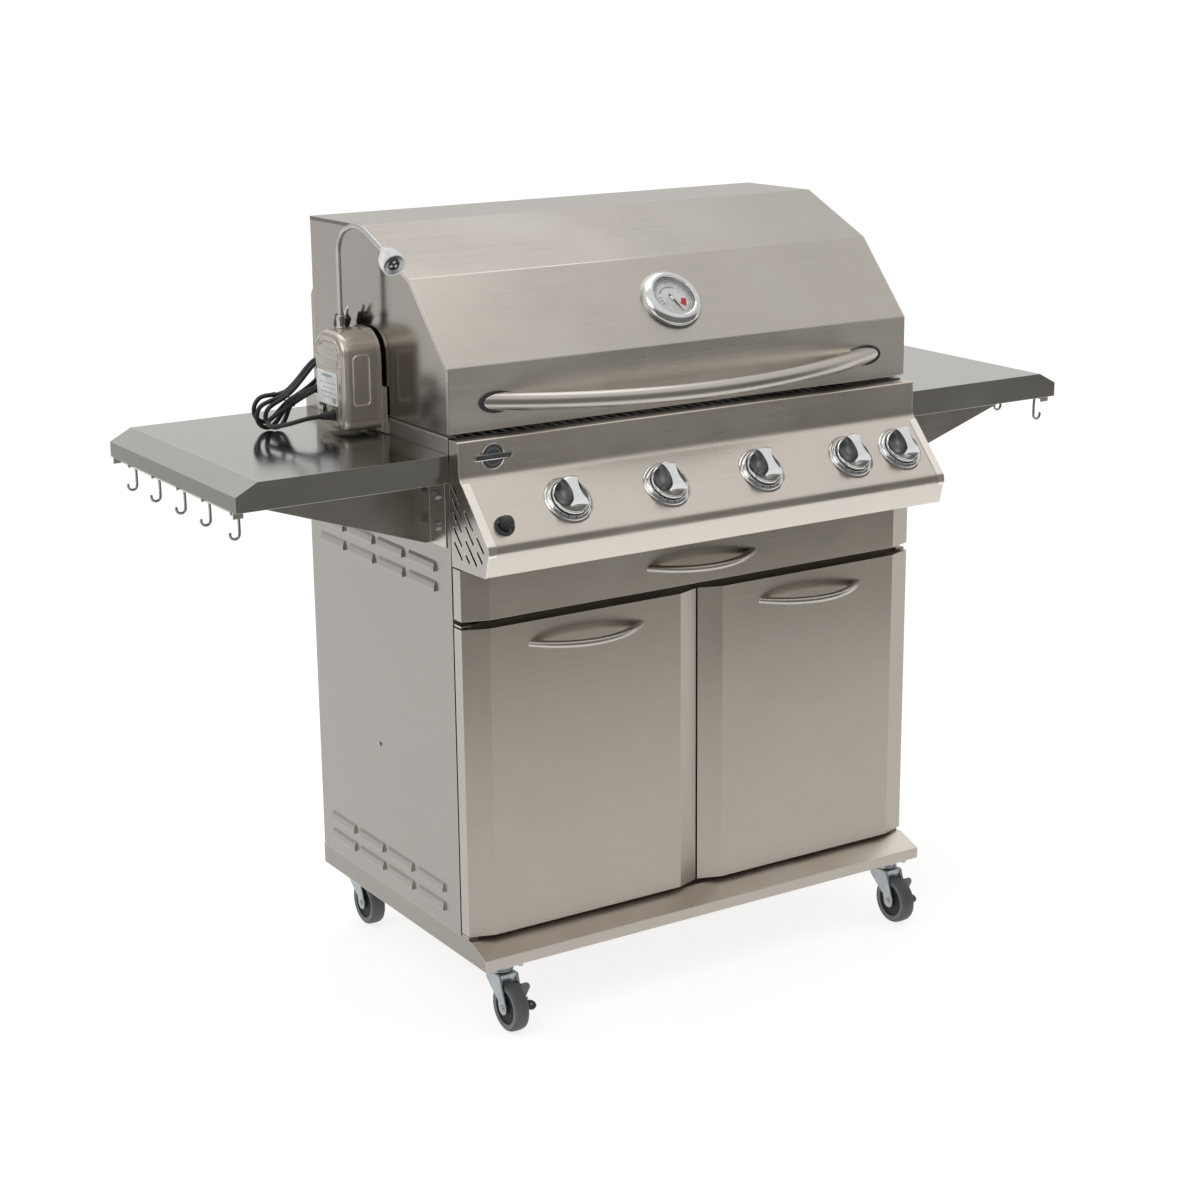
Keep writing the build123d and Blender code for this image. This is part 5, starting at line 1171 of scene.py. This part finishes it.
# swivel plates with two ball races
bm = bmesh.new()
for nm, (cx, cy) in CAST.items():
    C0 = Matrix.Translation((cx, cy, 0))
    for z in (101.0,):
        t = bmesh.new()
        prism(t, rrect(-28, 28, -25, 25, [5] * 4, 5), 101.0, 103.95)
        merge(bm, t, C0)
    lathe(bm, [(0, 89.4), (14.0, 89.4), (17.0, 89.8), (18.6, 91.0), (18.8, 92.6), (17.4, 93.6), (16.6, 94.2), (16.6, 95.4), (17.6, 96.0), (19.4, 97.0), (19.6, 98.8), (18.2, 100.2), (16.0, 101.1), (0, 101.1)], C0, 64)
    lathe(bm, [(0, 82.1), (7.0, 82.1), (8.3, 82.8), (8.4, 85.0), (5.0, 85.4), (5.0, 90.0), (0, 90.0)], C0, 32)
finish_mesh(bm, "swivel_plates", "root", "zinc", ["caster_plates"], 32.0, bevel=0.3)

# brakes on the front pair: lobed plate, bolt and rounded pedal
for nm, cx in (("left", -375.0), ("right", 375.0)):
    cy = -222.0
    bm = bmesh.new()
    BX = plane((cx + 16.0, cy - 30.0, 60.0), (1, 0, 0), (0, -1, 0))
    lobes = [(-1.0, -12.0), (5.0, -12.6), (9.0, -9.0)]
    for k in range(11):
        a = math.radians(-42 + 150 * k / 10)
        lobes.append((8.2 + 7.6 * math.cos(a), 4.6 + 7.4 * math.sin(a)))
    lobes += [(-1.0, 12.2)]
    prism(bm, lobes, -1.0, 1.2, BX, 0)
    B2 = plane((cx + 16.0, cy - 33.0, 47.0), (0, -1, 0), (1, 0, 0))
    lathe(bm, [(0, -0.6), (5.4, -0.6), (5.4, 5.0), (4.7, 5.9), (3.4, 6.0), (3.4, 9.2), (2.4, 10.0), (0, 10.1)], B2, 36, 1)
    # pedal: paddle pointing outwards
    P0 = Matrix.Translation((cx + 20.5, cy - 31.0, 35.5)) @ Matrix.Rotation(math.radians(10), 4, "Y") @ Matrix.Rotation(math.radians(38), 4, "X")
    out = [(-2.0, -5.4), (5.0, -7.4)]
    for k in range(17):
        a = math.radians(-88 + 176 * k / 16)
        out.append((11.5 + 9.6 * math.cos(a), 8.2 * math.sin(a)))
    out += [(5.0, 7.4), (-2.0, 5.4)]
    prism(bm, out, -1.7, 1.7, P0, 2)
    lathe(bm, [(0, 1.5), (1.7, 1.5), (1.7, 2.1), (1.1, 2.6), (0, 2.7)], P0 @ Matrix.Translation((12.0, 0, 0)), 20, 1)
    rbox(bm, cx + 16.2, cx + 21.5, cy - 36.0, cy - 25.0, 31.0, 46.0, 1.2, 2, None, 2)
    finish_mesh(bm, "brake_pedal_" + nm, "pedal_" + nm, ["gunmetal", "zinc", "black"], ["brake_" + nm], 32.0, bevel=0.5)

# ---------------------------------------------------------------------------
# S-hooks on the two rails
# ---------------------------------------------------------------------------
for s, nm in ((-1, "left"), (1, "right")):
    bm = bmesh.new()
    for y in (224.0, 133.0, 39.5, -50.0, -149.0):
        pts = []
        for k in range(15):
            a = math.radians(-15 + 205 * k / 14)
            pts.append((743.0 + 4.75 * math.cos(a), 839.0 + 4.75 * math.sin(a)))
        pts += [(737.6, 834.5), (736.9, 829.0), (736.7, 822.0), (736.7, 815.0)]
        for k in range(13):
            a = math.radians(180 + 192 * k / 12)
            pts.append((743.9 + 7.2 * math.cos(a), 808.6 + 7.2 * math.sin(a)))
        tube(bm, [(s * p[0], y, p[1]) for p in pts], 2.15, 16, cap="round")
    finish_mesh(bm, "hook_wires_" + nm, "hook_set_" + nm, "hook", ["hooks_" + nm], 50.0)

# ---------------------------------------------------------------------------
# Control fascia: one bent sheet with wide soft bends, slotted end plates that lap round its ends
# ---------------------------------------------------------------------------
P_R = [3.0, 26.0, 21.0, 2.5]


def bent(pts, radii):
    q = fillet_line([(0.0, p[0], p[1]) for p in pts], radii, 6.0)
    return [(p.y, p.z) for p in q]


def offset2(line, t):
    out = []
    for i, p in enumerate(line):
        a = line[max(0, i - 1)]
        b = line[min(len(line) - 1, i + 1)]
        dx, dy = b[0] - a[0], b[1] - a[1]
        L = math.hypot(dx, dy)
        out.append((p[0] - dy / L * t, p[1] + dx / L * t))
    return out


YZ = Matrix(((0, 0, 1, 0), (1, 0, 0, 0), (0, 1, 0, 0), (0, 0, 0, 1)))
outer = bent(PANEL, P_R)
inner = offset2(outer, 1.5)
bm = bmesh.new()
n = len(outer)
L0 = [bm.verts.new(YZ @ Vector((p[0], p[1], -418.3))) for p in outer + inner[::-1]]
L1 = [bm.verts.new(YZ @ Vector((p[0], p[1], 418.3))) for p in outer + inner[::-1]]
m2 = len(L0)
for i in range(m2):
    j = (i + 1) % m2
    bm.faces.new((L0[i], L0[j], L1[j], L1[i]))
for i in range(n - 1):
    for L in (L0, L1):
        bm.faces.new((L[i], L[i + 1], L[m2 - 2 - i], L[m2 - 1 - i]))
finish_mesh(bm, "control_fascia", "root", "panel", ["control_panel"], 25.0, bevel=0.3)

END = [(-182.0, 909.0), (-206.6, 909.0), (-207.7, 856.2), (-291.1, 767.0), (-280.2, 723.6), (-182.0, 721.5)]
SLOTS = [(-200, 831.2, 33), (-200.4, 811.3, 33), (-201.3, 790.7, 34), (-201, 769.4, 34), (-201.4, 748.6, 34), (-234, 799.1, 34), (-235.4, 778.3, 34),
         (-239.2, 752.8, 46), (-228.4, 742.2, 17), (-265.7, 770, 30), (-263.8, 751.2, 22)]
END_R = bent(END, [3.0, 26.0, 21.0, 2.5])
for s in (-1, 1):
    t = bmesh.new()
    x0, x1 = sorted((s * 418.35, s * 419.95))
    prism(t, END_R, x0, x1, YZ)
    base = temp_object(t, ["panel"], "ep")
    t = bmesh.new()
    for cy_, cz_, ln in SLOTS:
        A = Matrix.Translation((0, cy_, cz_)) @ Matrix.Rotation(math.radians(45.5), 4, "X")
        st = []
        hl = ln / 2 - 2.6
        for k in range(9):
            a = math.radians(-90 + 180 * k / 8)
            st.append((hl + 2.6 * math.cos(a), 2.6 * math.sin(a)))
        for k in range(9):
            a = math.radians(90 + 180 * k / 8)
            st.append((-hl + 2.6 * math.cos(a), 2.6 * math.sin(a)))
        prism(t, st, x0 - 3, x1 + 3, A @ YZ)
    cut = temp_object(t, ["panel"], "ec")
    em_ = boolean(base, [cut])
    bm = bmesh.new()
    t = bmesh.new()
    t.from_mesh(em_)
    merge(bm, t)
    # lap strip round the front edge; its bright steel_lap tone is a painted highlight
    lap = bent([(-207.9, 858.0 + 1.0), (-207.9, 856.2), (-291.3, 767.0), (-281.2, 727.5)], [0.6, 21.8])
    lap = [p for p in outer if 726.0 < p[1] < 850.0]
    lo_ = offset2(lap, -1.3)
    li_ = offset2(lap, 0.15)
    xa, xb = sorted((s * 419.95, s * 406.5))
    A0 = [bm.verts.new(YZ @ Vector((p[0], p[1], xa))) for p in lo_ + li_[::-1]]
    A1 = [bm.verts.new(YZ @ Vector((p[0], p[1], xb))) for p in lo_ + li_[::-1]]
    q = len(A0)
    for i in range(q):
        f = bm.faces.new((A0[i], A0[(i + 1) % q], A1[(i + 1) % q], A1[i]))
        f.material_index = 1
    for i in range(len(lap) - 1):
        for A in (A0, A1):
            bm.faces.new((A[i], A[i + 1], A[q - 2 - i], A[q - 1 - i]))
    finish_mesh(bm, "fascia_end_" + ("left" if s < 0 else "right"), "root", ["panel", "lap"], (), 25.0, bevel=0.25)

# narrow folded edges of the lid sheet, seen on both end faces
LIDP = [(-182.55, 917.0), (-182.3, 1010.7), (-74.5, 1127.8), (73.7, 1192.0), (246.4, 1190.2)]
lo_ = bent(LIDP, [5.0, 5.0, 5.0])
li_ = offset2(lo_, -6.5)
bm = bmesh.new()
for s in (-1, 1):
    xa, xb = sorted((s * 418.2, s * 419.3))
    A0 = [bm.verts.new(YZ @ Vector((p[0], p[1], xa))) for p in lo_ + li_[::-1]]
    A1 = [bm.verts.new(YZ @ Vector((p[0], p[1], xb))) for p in lo_ + li_[::-1]]
    q = len(A0)
    for i in range(q):
        bm.faces.new((A0[i], A0[(i + 1) % q], A1[(i + 1) % q], A1[i]))
    for i in range(len(lo_) - 1):
        for A in (A0, A1):
            f = bm.faces.new((A[i], A[i + 1], A[q - 2 - i], A[q - 1 - i]))
            # the rear part of each fold strip takes steel_fold_shade, whose dark end-face tone is painted shade
            f.material_index = 1 if lo_[i][0] > -66.0 else 0
finish_mesh(bm, "lid_edge_folds", "lid", ["frame", "fold_dark"], (), 25.0, bevel=0.3)

# plain badge: round rimmed plate with a blank bar, no lettering
NP = plane((-362.0, -207.8, 882.5), (1, 0, 0), (0, -1, 0))
bm = bmesh.new()
rings = []
for da, z in ((0, 0.0), (0, 1.0), (-0.5, 1.5), (-1.6, 1.55), (-2.1, 1.1), (-2.3, 0.8)):
    rings.append([bm.verts.new(NP @ Vector((x, y, z))) for x, y in ellipse(0, 0, 20.0 + da, 20.0 + da, 72)])
for a, b in zip(rings[:-1], rings[1:]):
    for i in range(72):
        bm.faces.new((a[i], a[(i + 1) % 72], b[(i + 1) % 72], b[i]))
f = bm.faces.new(rings[-1])
f.material_index = 1
bm.faces.new(rings[0])
for r0, r1 in ((13.0, 12.2),):
    lathe(bm, [(r1, 0.7), (r0, 0.7), (r0, 1.25), (r1, 1.25)], NP, 64, 0)
rbox(bm, -31.0, 31.0, -4.6, 4.6, 0.4, 2.0, 0.6, 2, NP, 0)
rbox(bm, -29.6, 29.6, -3.4, 3.4, 1.9, 2.25, 0.15, 1, NP, 1)
finish_mesh(bm, "badge_plain", "root", ["chrome", "gunmetal"], ["name_plate"], 35.0)

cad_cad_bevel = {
    "base_tray": 0.5, "door_left": 0.5, "door_right": 0.5, "drawer_front": 0.5, "side_shelves": 0.5, "cabinet_sides": 0.4,
    "shelf_brackets": 0.4, "front_frame": 0.4, "motor_bracket": 0.4, "rear_hood": 0.4, "lid_shell": 0.4,
}
for n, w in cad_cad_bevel.items():
    o = NODES[n]
    wd = o.modifiers.new("weld", "WELD")
    wd.merge_threshold = 0.00002
    dm = o.modifiers.new("flat", "DECIMATE")
    dm.decimate_type = "DISSOLVE"
    dm.angle_limit = math.radians(0.6)
    bv = o.modifiers.new("edges", "BEVEL")
    bv.width = w * MM
    bv.segments = 2
    bv.limit_method = "ANGLE"
    bv.angle_limit = math.radians(32)
